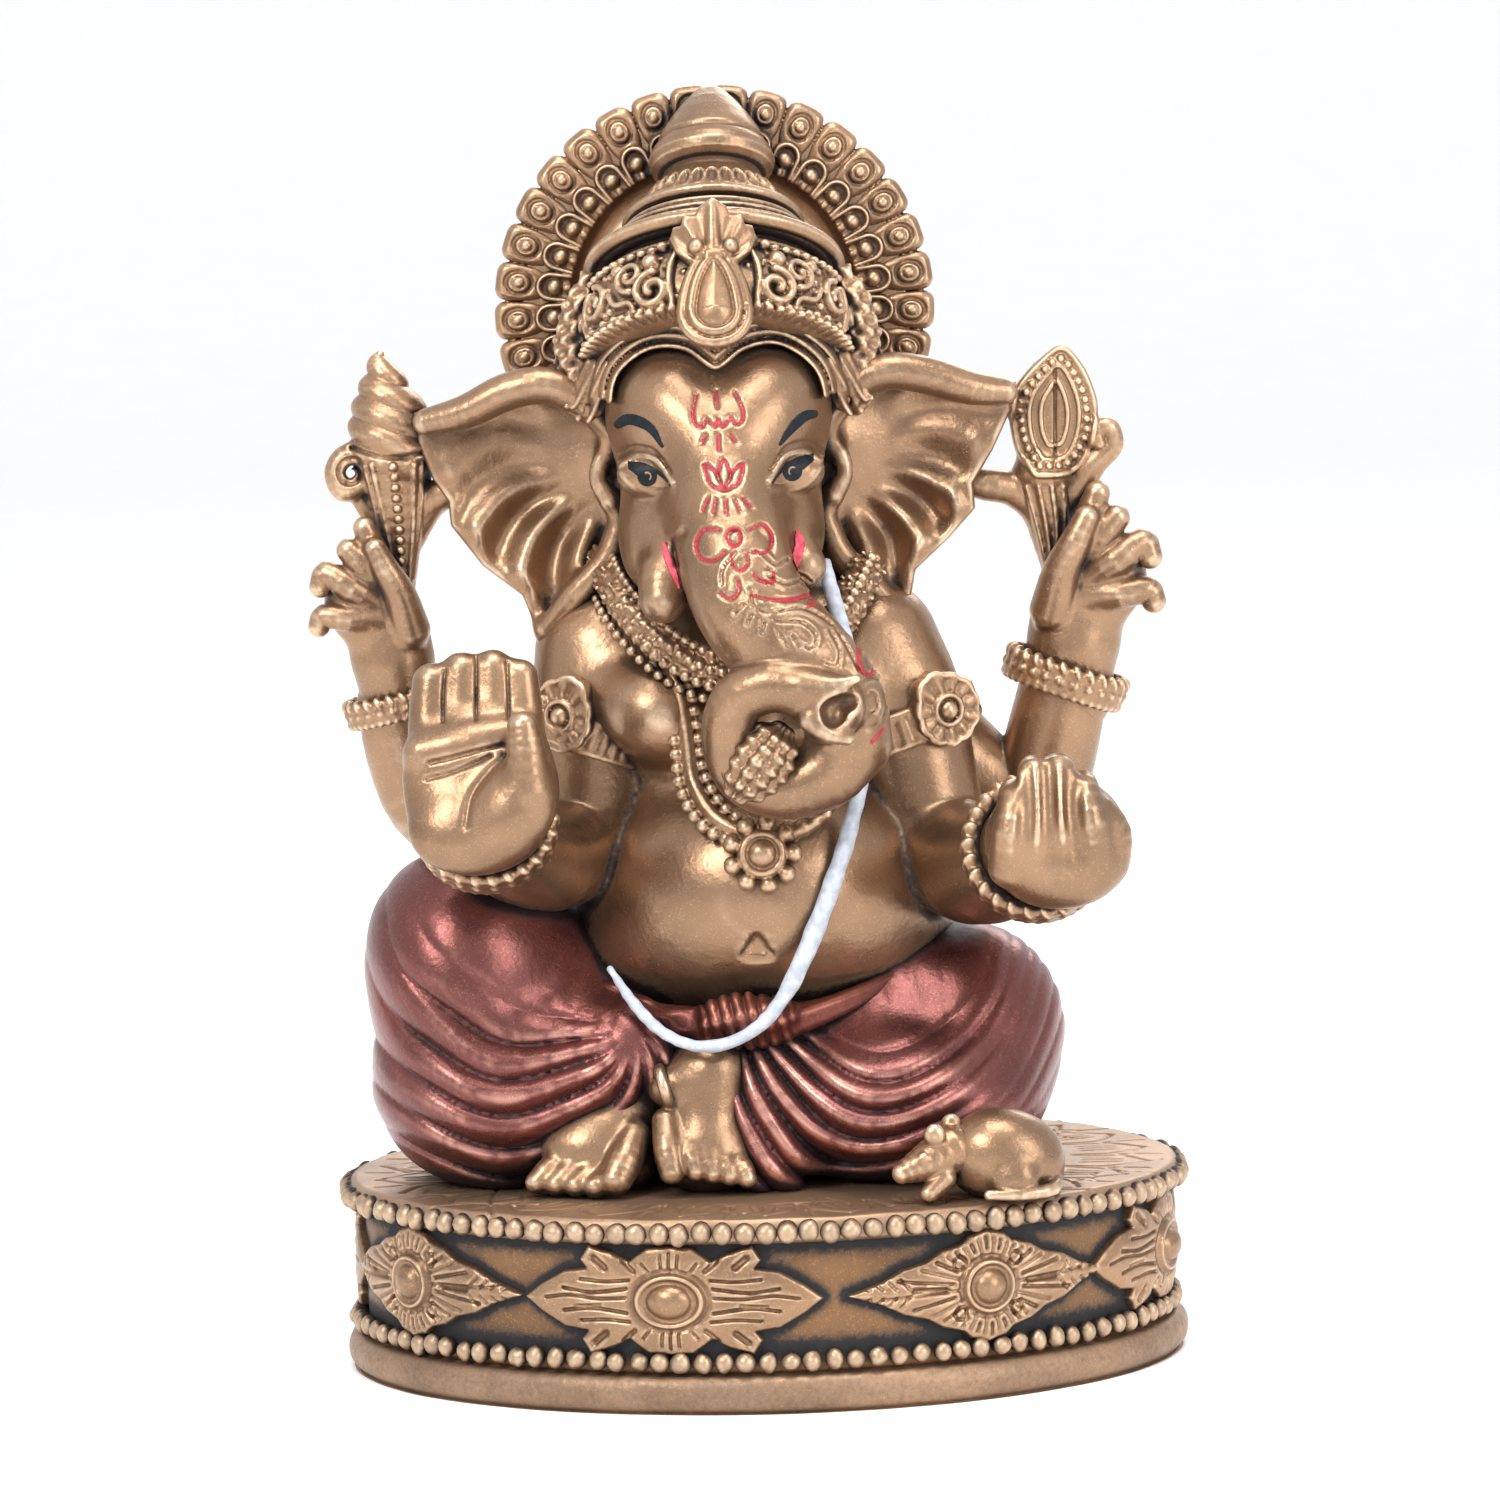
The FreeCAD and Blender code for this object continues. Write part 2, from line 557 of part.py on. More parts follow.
def long_necklace():
    return limb([(-8.4, -10.2, 84.2, 1.7), (-7.0, -11.6, 78.6, 1.8), (-6.8, -13.2, 72.6, 1.8),
                 (-5.0, -16.0, 67.6, 1.8), (-0.6, -18.0, 64.6, 1.8), (4.4, -18.0, 64.6, 1.8),
                 (9.0, -16.6, 66.8, 1.8), (10.6, -13.6, 72.0, 1.8), (9.6, -11.6, 79.0, 1.8)])


def pendant():
    return placed(union([Part.makeCylinder(4.5, 1.9), Part.makeSphere(1.9, V(0, 0, 1.4))]),
                  (0.6, -18.9, 62.3), (1, 0, 0), 84)


def sacred_thread():
    return limb([(9.4, -8.6, 93.4, 0.9), (10.6, -10.8, 88.6, 1.0), (12.4, -11.6, 80.0, 1.0),
                 (12.6, -14.2, 71.5, 1.0), (11.6, -17.4, 65.4, 1.1), (8.8, -19.4, 58.0, 1.2),
                 (4.8, -20.6, 49.6, 1.2), (1.0, -21.2, 43.6, 1.1), (-4.6, -21.9, 40.6, 0.9),
                 (-9.4, -21.2, 40.3, 0.9), (-13.0, -19.4, 42.6, 0.95), (-16.8, -17.2, 47.4, 0.95)])


# ---------------------------------------------------------------- mouse

def mouse_body():
    return union([ellipsoid((26.9, -27.2, 27.6), (6.7, 5.3, 5.3)),
                  limb([(28.0, -27.2, 26.0, 3.6), (32.4, -26.4, 24.6, 1.9)])]).cut(below_slab())


def mouse_head():
    muzzle = limb([(19.4, -29.6, 27.6, 2.7), (16.4, -31.0, 26.6, 1.6)])
    ears = [Part.makeSphere(1.2, V(19.0, -31.6, 30.2)), Part.makeSphere(1.2, V(20.4, -28.4, 30.6))]
    paws = limb([(20.2, -30.8, 25.6, 1.5), (19.4, -31.8, 23.8, 1.3)])
    return union([muzzle, paws] + ears).cut(below_slab())


# ---------------------------------------------------------------- the assembly

def plinth_members():
    """The oval plinth and the relief on its wall, by name."""
    made = {"plinth_foot": plinth_foot(), "plinth_drum": plinth_drum(), "plinth_slab": plinth_slab()}
    quarter_turns = [FIRST_MEDALLION_DEG + 90 * k for k in range(4)]
    flowers = [medallion(angle, flower_outline(), (2.6, 2.0)) for angle in quarter_turns]
    diamonds = [medallion(angle + 45, diamond_outline(), (2.1, 2.1)) for angle in quarter_turns]
    made["flower_medallions"] = Part.makeCompound(flowers)
    made["diamond_medallions"] = Part.makeCompound(diamonds)
    made["upper_bead_row"] = bead_row(UPPER_BEADS, SLAB_RADIUS)
    made["lower_bead_row"] = bead_row(LOWER_BEADS, DRUM_RADIUS)
    return made


def figure_members():
    """The figure by name, from what lies behind to what is seated in front of it."""
    made = {"halo_disc": halo_disc()}
    made["halo_outer_petals"] = Part.makeCompound(halo_outer_petals())
    made["halo_inner_petals"] = Part.makeCompound(halo_inner_petals())
    made["dhoti_seat"] = dhoti_seat()
    made["torso"] = torso()
    made["right_rear_arm"], made["left_rear_arm"] = right_rear_arm(), left_rear_arm()
    made["right_leg"], made["left_leg"] = right_leg(), left_leg()
    made["right_front_arm"], made["left_front_arm"] = right_front_arm(), left_front_arm()
    made["waist_sash"] = waist_sash()
    made["right_foot"], made["left_foot"] = right_foot(), left_foot()
    made["right_ear"], made["left_ear"] = ear(-1), ear(1)
    made["head"] = head()
    made["eyes"], made["brows"] = eyes(), brows()
    made["forehead_mark"], made["lips"] = forehead_mark(), lips()
    made["collar"] = collar()
    made["long_necklace"] = long_necklace()
    made["pendant"] = pendant()
    made["sacred_thread"] = sacred_thread()
    made["right_tusk"], made["left_tusk"] = tusk(-1), tusk(1)
    made["trunk"] = trunk()
    made["trunk_sweet"] = trunk_sweet()
    made["crown_diadem"] = crown_diadem()
    made["right_side_ornament"], made["left_side_ornament"] = side_ornament(-1), side_ornament(1)
    made["hair_band"] = hair_band()
    made["crown_lower_brim"] = crown_lower_brim()
    made["crown_upper_brim"] = crown_upper_brim()
    made["crown_finial"] = crown_finial()
    made["crown_crest"] = crown_crest()
    made["right_rear_hand"], made["left_rear_hand"] = right_rear_hand(), left_rear_hand()
    made["right_emblem"], made["left_emblem"] = right_emblem(), left_emblem()
    made.update(armlets())
    made.update(bracelets())
    made["right_front_hand"], made["left_front_hand"] = right_front_hand(), left_front_hand()
    made["mouse_body"], made["mouse_head"] = mouse_body(), mouse_head()
    return made


def main_solids(shape, keep_share=0.02):
    """The solids of a shape without the crumbs that trimming can leave."""
    largest = max(s.Volume for s in shape.Solids)
    return [s for s in shape.Solids if s.Volume > keep_share * largest]


def trimmed(made):
    """Cuts each member by the later ones that reach into it."""
    names = list(made)
    boxes = {name: made[name].optimalBoundingBox(False) for name in names}
    for i, name in enumerate(names):
        shape = made[name]
        for other in names[i + 1:]:
            if boxes[name].intersect(boxes[other]):
                shape = shape.cut(made[other])
        made[name] = Part.makeCompound(main_solids(shape))
    return made


def main():
    os.makedirs("parts", exist_ok=True)
    made = plinth_members()
    made.update(trimmed(figure_members()))
    for name, shape in made.items():
        shape.exportStep(os.path.join("parts", name + ".step"))
        state = f"solids {len(shape.Solids):4d} valid {shape.isValid()} volume {shape.Volume:10.1f}"
        print(f"{name:22s} {state}")


if __name__ == "__main__":
    main()
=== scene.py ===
"""Ganesha idol: the looks. A painted resin casting, sculpted as signed distance fields over the CAD frame.

Lengths inside this script are millimetres, and meshes are handed to Blender in metres. Every field is drawn
in the frame's own coordinates, about the CAD node that it stands for, and is meshed round that node's box.
X grows to the viewer's right, Y away from the viewer and Z upwards. "Right" and "left" in names are the
figure's own.
"""

import math
from concurrent.futures import ThreadPoolExecutor

import bpy
import numpy as np
from mathutils import Matrix, Vector


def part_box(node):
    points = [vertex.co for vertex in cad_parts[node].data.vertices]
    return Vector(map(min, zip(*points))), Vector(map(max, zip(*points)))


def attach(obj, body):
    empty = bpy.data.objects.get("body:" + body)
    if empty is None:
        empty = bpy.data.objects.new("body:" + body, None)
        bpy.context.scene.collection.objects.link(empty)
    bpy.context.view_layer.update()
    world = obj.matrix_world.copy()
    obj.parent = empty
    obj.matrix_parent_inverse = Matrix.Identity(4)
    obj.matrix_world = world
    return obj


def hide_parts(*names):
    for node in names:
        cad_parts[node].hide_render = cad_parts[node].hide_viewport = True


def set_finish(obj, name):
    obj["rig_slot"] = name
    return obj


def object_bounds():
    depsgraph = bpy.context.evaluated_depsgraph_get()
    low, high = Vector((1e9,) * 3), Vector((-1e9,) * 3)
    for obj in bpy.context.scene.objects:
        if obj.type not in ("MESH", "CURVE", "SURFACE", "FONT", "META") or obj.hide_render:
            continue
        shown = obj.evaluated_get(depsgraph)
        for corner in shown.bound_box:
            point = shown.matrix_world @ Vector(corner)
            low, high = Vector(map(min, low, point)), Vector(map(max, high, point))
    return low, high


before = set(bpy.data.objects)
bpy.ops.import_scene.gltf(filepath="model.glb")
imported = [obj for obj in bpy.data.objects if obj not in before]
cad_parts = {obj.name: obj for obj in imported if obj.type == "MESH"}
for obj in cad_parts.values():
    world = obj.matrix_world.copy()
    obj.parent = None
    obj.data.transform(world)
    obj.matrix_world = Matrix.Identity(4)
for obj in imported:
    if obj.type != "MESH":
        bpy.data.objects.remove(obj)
CAD_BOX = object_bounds()

MM = 0.001
F = np.float32
FINE = 0.24      # voxel for faces, hands, crown and jewellery
PLAIN = 0.36      # voxel for broad smooth forms
MID_X = -2.8                        # the head's plane of symmetry
DRUM_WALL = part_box("plinth_drum")[1][0] / MM
SLAB_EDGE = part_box("plinth_slab")[1][0] / MM
SLAB_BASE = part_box("plinth_slab")[0][2] / MM
SLAB_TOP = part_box("plinth_slab")[1][2] / MM
FOOT_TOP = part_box("plinth_foot")[1][2] / MM
rng = np.random.default_rng(7)


# ------------------------------------------------------------------ distance fields

def smin(a, b, k):
    h = np.maximum(k - np.abs(a - b), 0) / k
    return np.minimum(a, b) - h * h * k * 0.25


def smax(a, b, k):
    return -smin(-a, -b, k)


def ramp(x, low, high):
    t = np.clip((x - low) / (high - low), 0, 1)
    return t * t * (3 - 2 * t)


def turn(axis, degrees):
    """Columns are a local frame turned about a world axis (0, 1, 2)."""
    a = math.radians(degrees)
    c, s = math.cos(a), math.sin(a)
    i, j = [(1, 2), (2, 0), (0, 1)][axis]
    m = np.eye(3)
    m[i, i] = m[j, j] = c
    m[j, i], m[i, j] = s, -s
    return m.astype(F)


def blob(p, centre, radii, local=None):
    """An ellipsoid."""
    q = p - np.array(centre, F)
    if local is not None:
        q = q @ local
    r = np.array(radii, F)
    a = q / r
    k0 = np.sqrt((a * a).sum(1))
    b = a / r
    k1 = np.sqrt((b * b).sum(1))
    return k0 * (k0 - 1) / np.maximum(k1, 1e-5)


def spline(points, steps):
    """Catmull-Rom through the points, any number of columns."""
    pts = np.array(points, float)
    if len(pts) < 3 or steps < 2:
        return pts
    ext = np.vstack([2 * pts[0] - pts[1], pts, 2 * pts[-1] - pts[-2]])
    out = []
    for i in range(len(pts) - 1):
        a, b, c, d = ext[i:i + 4]
        for t in np.arange(steps) / steps:
            quadratic = 2 * b + (c - a) * t + (2 * a - 5 * b + 4 * c - d) * t ** 2
            out.append(0.5 * (quadratic + (3 * b - a - 3 * c + d) * t ** 3))
    return np.vstack(out + [pts[-1]])


def tube(p, stations, steps=3):
    """A smooth round tube through (x, y, z, radius) stations."""
    pts = spline(stations, steps).astype(F)
    best = np.full(len(p), 1e3, F)
    for a, b in zip(pts, pts[1:]):
        ab = b[:3] - a[:3]
        pa = p - a[:3]
        h = np.clip((pa @ ab) / max(float(ab @ ab), 1e-9), 0, 1)
        d = np.sqrt(((pa - h[:, None] * ab) ** 2).sum(1)) - (a[3] + h * (b[3] - a[3]))
        np.minimum(best, d, out=best)
    return best


def ring(p, centre, radius, thickness, local, ratio=1.0):
    """A torus about the local Z axis, its section ratio times as tall as it is thick."""
    q = (p - np.array(centre, F)) @ local
    a = np.sqrt(q[:, 0] ** 2 + q[:, 1] ** 2) - radius
    return np.sqrt(a * a + (q[:, 2] / ratio) ** 2) - thickness


def union(k, *fields):
    best = fields[0]
    for f in fields[1:]:
        best = smin(best, f, k)
    return best


# ------------------------------------------------------------------ relief drawn on a flat map

class Relief:
    """Heights drawn with strokes on a flat map, read by place. Positive stands out, negative is cut in."""

    def __init__(self, low, high, cell=0.1):
        self.low, self.cell = np.array(low, float), cell
        self.size = np.ceil((np.array(high) - self.low) / cell).astype(int) + 1
        self.height = np.zeros(self.size, F)

    def window(self, points, reach):
        low = np.maximum(((points.min(0) - reach - self.low) / self.cell).astype(int), 0)
        high = np.minimum(((points.max(0) + reach - self.low) / self.cell).astype(int) + 2, self.size)
        if (high <= low).any():
            return None
        u = self.low[0] + np.arange(low[0], high[0]) * self.cell
        v = self.low[1] + np.arange(low[1], high[1]) * self.cell
        return (slice(low[0], high[0]), slice(low[1], high[1])), u[:, None], v[None, :]

    def distance(self, pts, reach):
        found = self.window(pts, reach)
        if found is None:
            return None
        where, u, v = found
        best = np.full((u.shape[0], v.shape[1]), 1e3)
        for a, b in zip(pts, pts[1:]):
            d = b - a
            h = np.clip(((u - a[0]) * d[0] + (v - a[1]) * d[1]) / max(d @ d, 1e-9), 0, 1)
            best = np.minimum(best, np.hypot(u - a[0] - h * d[0], v - a[1] - h * d[1]))
        return where, best

    def put(self, where, shape, height):
        now = self.height[where]
        if height > 0:
            self.height[where] = np.where(shape > 0, np.maximum(now, shape * height), now)
        else:
            self.height[where] = now + shape * height
        return self

    def stroke(self, points, width, height, steps=5):
        """A rounded line, width wide at its foot."""
        found = self.distance(spline(points, steps), width)
        if found is None:
            return self
        where, d = found
        t = d / (width / 2)
        shape = np.sqrt(np.clip(1 - t * t, 0, 1)) if height > 0 else np.exp(-2.2 * t * t)
        return self.put(where, shape, height)

    def dot(self, at, radius, height):
        found = self.distance(np.array([at, at], float), radius * 1.6)
        if found is None:
            return self
        where, d = found
        t = d / radius
        return self.put(where, np.sqrt(np.clip(1 - t * t, 0, 1)), height)

    def hoop(self, at, radius, width, height, ratio=1.0, steps=40):
        a = np.linspace(0, 2 * math.pi, steps)
        pts = np.stack([at[0] + radius * np.cos(a), at[1] + radius * ratio * np.sin(a)], 1)
        return self.stroke(pts, width, height, 1)

    def beads(self, points, pitch, radius, height, steps=8):
        for at in along(spline(points, steps), pitch):
            self.dot(at, radius, height)
        return self

    def curl(self, centre, radius, start, turns, width, height, shrink=0.25):
        """A scroll that winds in to its centre."""
        t = np.linspace(0, 1, 26)
        a = np.radians(start) + t * turns * 2 * math.pi
        r = radius * (1 - t * (1 - shrink))
        pts = np.stack([centre[0] + r * np.cos(a), centre[1] + r * np.sin(a)], 1)
        return self.stroke(pts, width, height, 1)

    def __call__(self, u, v):
        x = np.clip((u - self.low[0]) / self.cell, 0, self.size[0] - 1.001)
        y = np.clip((v - self.low[1]) / self.cell, 0, self.size[1] - 1.001)
        i, j = x.astype(np.int32), y.astype(np.int32)
        s, t = (x - i).astype(F), (y - j).astype(F)
        h = self.height
        low = h[i, j] * (1 - s) + h[i + 1, j] * s
        high = h[i, j + 1] * (1 - s) + h[i + 1, j + 1] * s
        return low * (1 - t) + high * t


def along(pts, pitch):
    """Points at an even pitch along a polyline."""
    pts = np.asarray(pts, float)
    steps = np.r_[0, np.cumsum(np.linalg.norm(np.diff(pts, axis=0), axis=1))]
    count = max(int(steps[-1] / pitch), 1)
    at = np.linspace(0, steps[-1], count + 1)
    return np.stack([np.interp(at, steps, pts[:, k]) for k in range(pts.shape[1])], 1)


# ------------------------------------------------------------------ meshing a field

BLOCK = 8


def sample_grid(field, low, counts, voxel):
    """The field on a grid, worked out only in blocks near the surface."""
    blocks = np.ceil(np.array(counts) / BLOCK).astype(int)
    index = np.stack(np.meshgrid(*[np.arange(n) for n in blocks], indexing="ij"), -1).reshape(-1, 3)
    middle = (low + (index + 0.5) * BLOCK * voxel).astype(F)
    rough = in_chunks(field, middle)
    near = np.abs(rough) < BLOCK * voxel * 0.87 * 1.35 + 0.8
    grid = np.empty(tuple(blocks * BLOCK), F)
    view = grid.reshape(blocks[0], BLOCK, blocks[1], BLOCK, blocks[2], BLOCK).transpose(0, 2, 4, 1, 3, 5)
    view[...] = np.where(rough < 0, -9, 9).reshape(*blocks, 1, 1, 1).astype(F)
    step = np.stack(np.meshgrid(*[np.arange(BLOCK)] * 3, indexing="ij"), -1).reshape(-1, 3)
    chosen = index[near]
    for start in range(0, len(chosen), 400):
        part = chosen[start:start + 400]
        points = (low + (part[:, None, :] * BLOCK + step[None]) * voxel).reshape(-1, 3).astype(F)
        values = field(points).reshape(-1, BLOCK, BLOCK, BLOCK)
        view[part[:, 0], part[:, 1], part[:, 2]] = values
    return grid


def in_chunks(field, points, size=200000):
    return np.concatenate([field(points[i:i + size]) for i in range(0, len(points), size)]).astype(F)


CORNERS = np.array([(i, j, k) for i in (0, 1) for j in (0, 1) for k in (0, 1)])
EDGES = [(a, b) for a in range(8) for b in range(a + 1, 8) if np.abs(CORNERS[a] - CORNERS[b]).sum() == 1]


def surface_net(grid, low, voxel):
    """Vertices and quads of the grid's zero surface, one vertex in each cell that it crosses."""
    n = np.array(grid.shape) - 1
    inside = grid < 0
    count = np.zeros(n, np.int8)
    for c in CORNERS:
        count += inside[c[0]:c[0] + n[0], c[1]:c[1] + n[1], c[2]:c[2] + n[2]]
    cells = np.argwhere((count > 0) & (count < 8))
    values = np.stack([grid[tuple((cells + c).T)] for c in CORNERS], 1)
    total, hits = np.zeros((len(cells), 3), F), np.zeros(len(cells), F)
    for a, b in EDGES:
        va, vb = values[:, a], values[:, b]
        cross = (va < 0) != (vb < 0)
        t = np.where(cross, va / np.where(cross, va - vb, 1), 0)[:, None]
        total += np.where(cross[:, None], CORNERS[a] + t * (CORNERS[b] - CORNERS[a]), 0).astype(F)
        hits += cross
    verts = low + (cells + total / hits[:, None]) * voxel
    ids = np.full(n, -1, np.int32)
    ids[tuple(cells.T)] = np.arange(len(cells))
    quads = []
    for axis in range(3):
        u, v = (axis + 1) % 3, (axis + 2) % 3
        front = [slice(1, n[k]) for k in range(3)]
        front[axis] = slice(0, n[axis])
        ahead = list(front)
        ahead[axis] = slice(1, n[axis] + 1)
        s0, s1 = inside[tuple(front)], inside[tuple(ahead)]
        for outward, mask in ((True, s0 & ~s1), (False, ~s0 & s1)):
            at = np.argwhere(mask)
            at[:, u] += 1
            at[:, v] += 1
            corner = []
            for du, dv in ((1, 1), (0, 1), (0, 0), (1, 0)):
                cell = at.copy()
                cell[:, u] -= du
                cell[:, v] -= dv
                corner.append(ids[tuple(cell.T)])
            quad = np.stack(corner, 1)
            quads.append(quad if outward else quad[:, ::-1])
    quads = np.vstack(quads)
    return verts, quads[(quads >= 0).all(1)]


def gradient(field, verts, step):
    """By four points of a tetrahedron."""
    corners = np.array([(1, -1, -1), (-1, -1, 1), (-1, 1, -1), (1, 1, 1)], F)
    total = np.zeros((len(verts), 3), F)
    for c in corners:
        total += c * in_chunks(field, (verts + c * step).astype(F))[:, None]
    return total / (4 * step)


def sculpt(field, low, high, voxel):
    """Mesh a field: net, then pull each vertex onto the surface. Also gives the places found inside."""
    low = np.floor((np.array(low, float) - 2 * voxel) / voxel) * voxel
    counts = np.ceil((np.array(high) + 2 * voxel - low) / voxel).astype(int) + 1
    grid = sample_grid(field, low, counts, voxel)
    verts, quads = surface_net(grid, low, voxel)
    for _ in range(2):
        g = gradient(field, verts, voxel * 0.35)
        size = np.maximum((g * g).sum(1), 0.05)
        move = (in_chunks(field, verts.astype(F)) / size)[:, None] * g
        length = np.linalg.norm(move, axis=1, keepdims=True)
        verts = verts - move * np.minimum(1, 0.5 * voxel / np.maximum(length, 1e-6))
    inside = low + np.argwhere(grid < 0) * voxel
    return verts, quads, (inside, voxel ** 3)


# ------------------------------------------------------------------ pieces

MADE = []      # (name, object, verts in mm, faces), for the wear, painted shade and highlight worked out at the end


def span(nodes, grow):
    """The box of some CAD nodes in millimetres, a little enlarged."""
    boxes = [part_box(n) for n in nodes]
    low = np.min([b[0] for b in boxes], axis=0) / MM - grow
    high = np.max([b[1] for b in boxes], axis=0) / MM + grow
    return low, high


def new_piece(name, verts, faces, slot, nodes=()):
    mesh = bpy.data.meshes.new(name + "_cast")
    verts, faces = np.asarray(verts, float), np.asarray(faces)
    mesh.vertices.add(len(verts))
    mesh.vertices.foreach_set("co", (verts * MM).ravel())
    mesh.loops.add(faces.size)
    mesh.loops.foreach_set("vertex_index", faces.ravel().astype(np.int32))
    mesh.polygons.add(len(faces))
    mesh.polygons.foreach_set("loop_start", (np.arange(len(faces)) * faces.shape[1]).astype(np.int32))
    mesh.update(calc_edges=True)
    mesh.polygons.foreach_set("use_smooth", np.ones(len(faces), bool))
    obj = bpy.data.objects.new(name + "_cast", mesh)
    bpy.context.collection.objects.link(obj)
    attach(obj, "root")
    if nodes:
        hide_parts(*nodes)
    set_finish(obj, slot)
    MADE.append((name, obj, verts, faces))
    return obj


# ------------------------------------------------------------------ skin: torso, arms, legs, feet

def trunk_of_body(p):
    belly = blob(p, (0.8, -1.5, 56.0), (19.8, 18.6, 15.6))
    chest = blob(p, (-2.4, 2.0, 76.0), (16.5, 13.0, 12.5))
    shoulders = blob(p, (-2.4, 3.5, 83.5), (19.5, 9.5, 7.6))
    neck = blob(p, (-2.4, 0.5, 92.0), (9.5, 10.0, 9.0))
    breast_r = blob(p, (-10.4, -6.6, 77.2), (7.6, 7.4, 6.2), turn(1, 18))
    breast_l = blob(p, (5.6, -6.4, 77.2), (7.8, 7.2, 6.4), turn(1, -18))
    flank = blob(p, (0.0, 3.0, 64.0), (17.5, 13.0, 10.0))
    hips = blob(p, (-0.4, 2.0, 49.0), (24.0, 14.5, 9.5))
    d = union(4.0, chest, shoulders, neck, flank)
    d = union(1.6, d, breast_r, breast_l)
    d = smin(smin(d, belly, 3.0), hips, 6.0)
    fold = tube(p, [(-19, -6, 70.0, 0.5), (-13, -12.0, 68.6, 0.6), (-6, -15.6, 68.6, 0.5),
                    (2, -16.6, 69.4, 0.4)])
    return smax(d, -fold, 2.0) - BELLY_RELIEF(p[:, 0], p[:, 2]) * ramp(-p[:, 1], 12.0, 16.0)


def belly_relief():
    """The navel: a small peaked fold over a hollow."""
    r = Relief((-6, 46), (6, 56), 0.1)
    r.stroke([(-0.1, 50.7), (-0.1, 51.0)], 3.4, -0.5)
    r.stroke([(-1.7, 50.0), (-0.8, 51.4), (-0.1, 52.4), (0.6, 51.4), (1.5, 50.0)], 0.9, -0.55)
    r.stroke([(-1.4, 49.6), (1.2, 49.6)], 0.8, -0.3)
    return r


BELLY_RELIEF = belly_relief()


def body(p):
    """Torso and four arms as one skin: broad fillets at the shoulders, tight creases lower down."""
    d = trunk_of_body(p)
    front = 1.0 + 4.5 * ramp(p[:, 2], 70.0, 82.0)
    rear = 1.0 + 3.0 * ramp(p[:, 2], 72.0, 82.0)
    for name, stations in ARMS.items():
        d = smin(d, tube(p, stations, 3), front if "front" in name else rear)
    return d


def fan(p, centre, side, first, width, height, start):
    """Long cloth folds that leave one gathered point and fan out below it.

    At each distance from the gather, first gives the first groove's angle and width the angle to the next.
    """
    u, v = (p[:, 0] - centre[0]) * side, p[:, 2] - centre[1] + 0.12 * (p[:, 1] + 12)
    reach = np.hypot(u, v)
    angle = np.degrees(np.arctan2(v, u))
    phase = (first(reach) - angle) / width(reach) + 0.10 * np.sin(reach * 0.35 + angle * 0.05)
    wave = np.abs(np.sin(math.pi * phase)) ** 0.7
    shown = ramp(phase, start - 0.5, start + 0.4) * ramp(reach, 1.0, 7.0)
    faded = (1 - 0.85 * ramp(reach, 22, 33)) * (0.35 + 0.65 * ramp(phase, -0.9, 0.4))
    return (height * (wave - 0.62) * shown * faded).astype(F)


def right_leg(p):
    """The raised knee under its garment, at the viewer's left."""
    knee = blob(p, (-34.0, -4.5, 48.0), (11.8, 14.5, 13.8), turn(1, -16))
    calf = blob(p, (-31.5, -4.0, 34.5), (14.4, 16.0, 13.0))
    thigh = tube(p, [(-32.0, -3.0, 46.0, 12.4), (-23.0, -1.0, 41.0, 11.2), (-13.0, 2.0, 38.4, 9.6)], 3)
    shin = tube(p, [(-30.0, -8.0, 34.0, 11.2), (-21.6, -11.0, 36.0, 9.0), (-15.4, -13.2, 38.4, 6.6)], 3)
    d = union(4.5, knee, calf, thigh, shin)
    wave = fan(p, (-15.0, 40.5), -1, first=lambda r: -9 + 0.036 * r * r,
               width=lambda r: 7 + 24 * np.exp(-r / 18), height=1.35, start=-1.1)
    return smax(d - wave, SLAB_TOP - p[:, 2], 0.5)


def left_leg(p):
    """The folded leg, at the viewer's right."""
    calf = blob(p, (15.5, -8.0, 32.0), (17.6, 16.0, 11.0), turn(1, 4))
    knee = blob(p, (24.4, -0.5, 37.0), (10.8, 15.0, 12.8))
    thigh = tube(p, [(24.0, -1.0, 39.0, 11.0), (15.0, -4.0, 40.0, 9.6), (7.0, -6.5, 38.0, 8.6)], 3)
    gather = tube(p, [(0.6, -13.0, 40.0, 4.2), (0.2, -16.2, 33.0, 4.6), (1.0, -17.6, 26.0, 4.6)], 3)
    d = union(4.0, calf, knee, thigh, gather)
    wave = fan(p, (-3.0, 44.0), 1, first=lambda r: -34 + 0.105 * (r - 13) ** 2,
               width=lambda r: 10 + 9 * np.exp(-r / 10), height=1.35, start=-1.1)
    return smax(d - wave, SLAB_TOP - p[:, 2], 0.5)


def seat(p):
    d = blob(p, (-1.5, 9.5, 34.0), (27.5, 15.5, 17.5))
    x, z = p[:, 0], p[:, 2]
    phase = z / 4.6 + 0.35 * np.sin(x * 0.13 + 0.5) + 0.0016 * (x + 2) ** 2
    wave = np.abs(np.sin(math.pi * phase)) ** 0.75 - 0.6
    return smax(d - wave * ramp(48.0 - z, 0, 6), SLAB_TOP - z, 0.5)


def sash(p):
    """A waistband with a short gathered knot under the belly."""
    band = tube(p, [(-20.0, -9.0, 46.4, 1.0), (-13.0, -14.4, 43.4, 1.4), (-6.0, -17.6, 41.8, 2.1),
                    (1.0, -18.0, 41.8, 2.3),
                    (9.0, -15.4, 43.4, 1.5), (17.0, -9.0, 46.4, 1.1), (22.0, -2.0, 49.6, 1.0)], 4)
    knot = blob(p, (-1.4, -19.0, 43.0), (5.4, 3.0, 2.4))
    d = smin(band, knot, 1.2)
    knotted = ramp(6.5 - np.abs(p[:, 0] + 1.4), 0, 2)
    pleat = np.abs(np.sin((p[:, 0] + 0.25 * p[:, 2]) * 2.0)) ** 0.7 * knotted
    return d - 0.5 * (pleat - 0.3) - 0.12 * np.sin(p[:, 2] * 2.6 - p[:, 0] * 0.8)


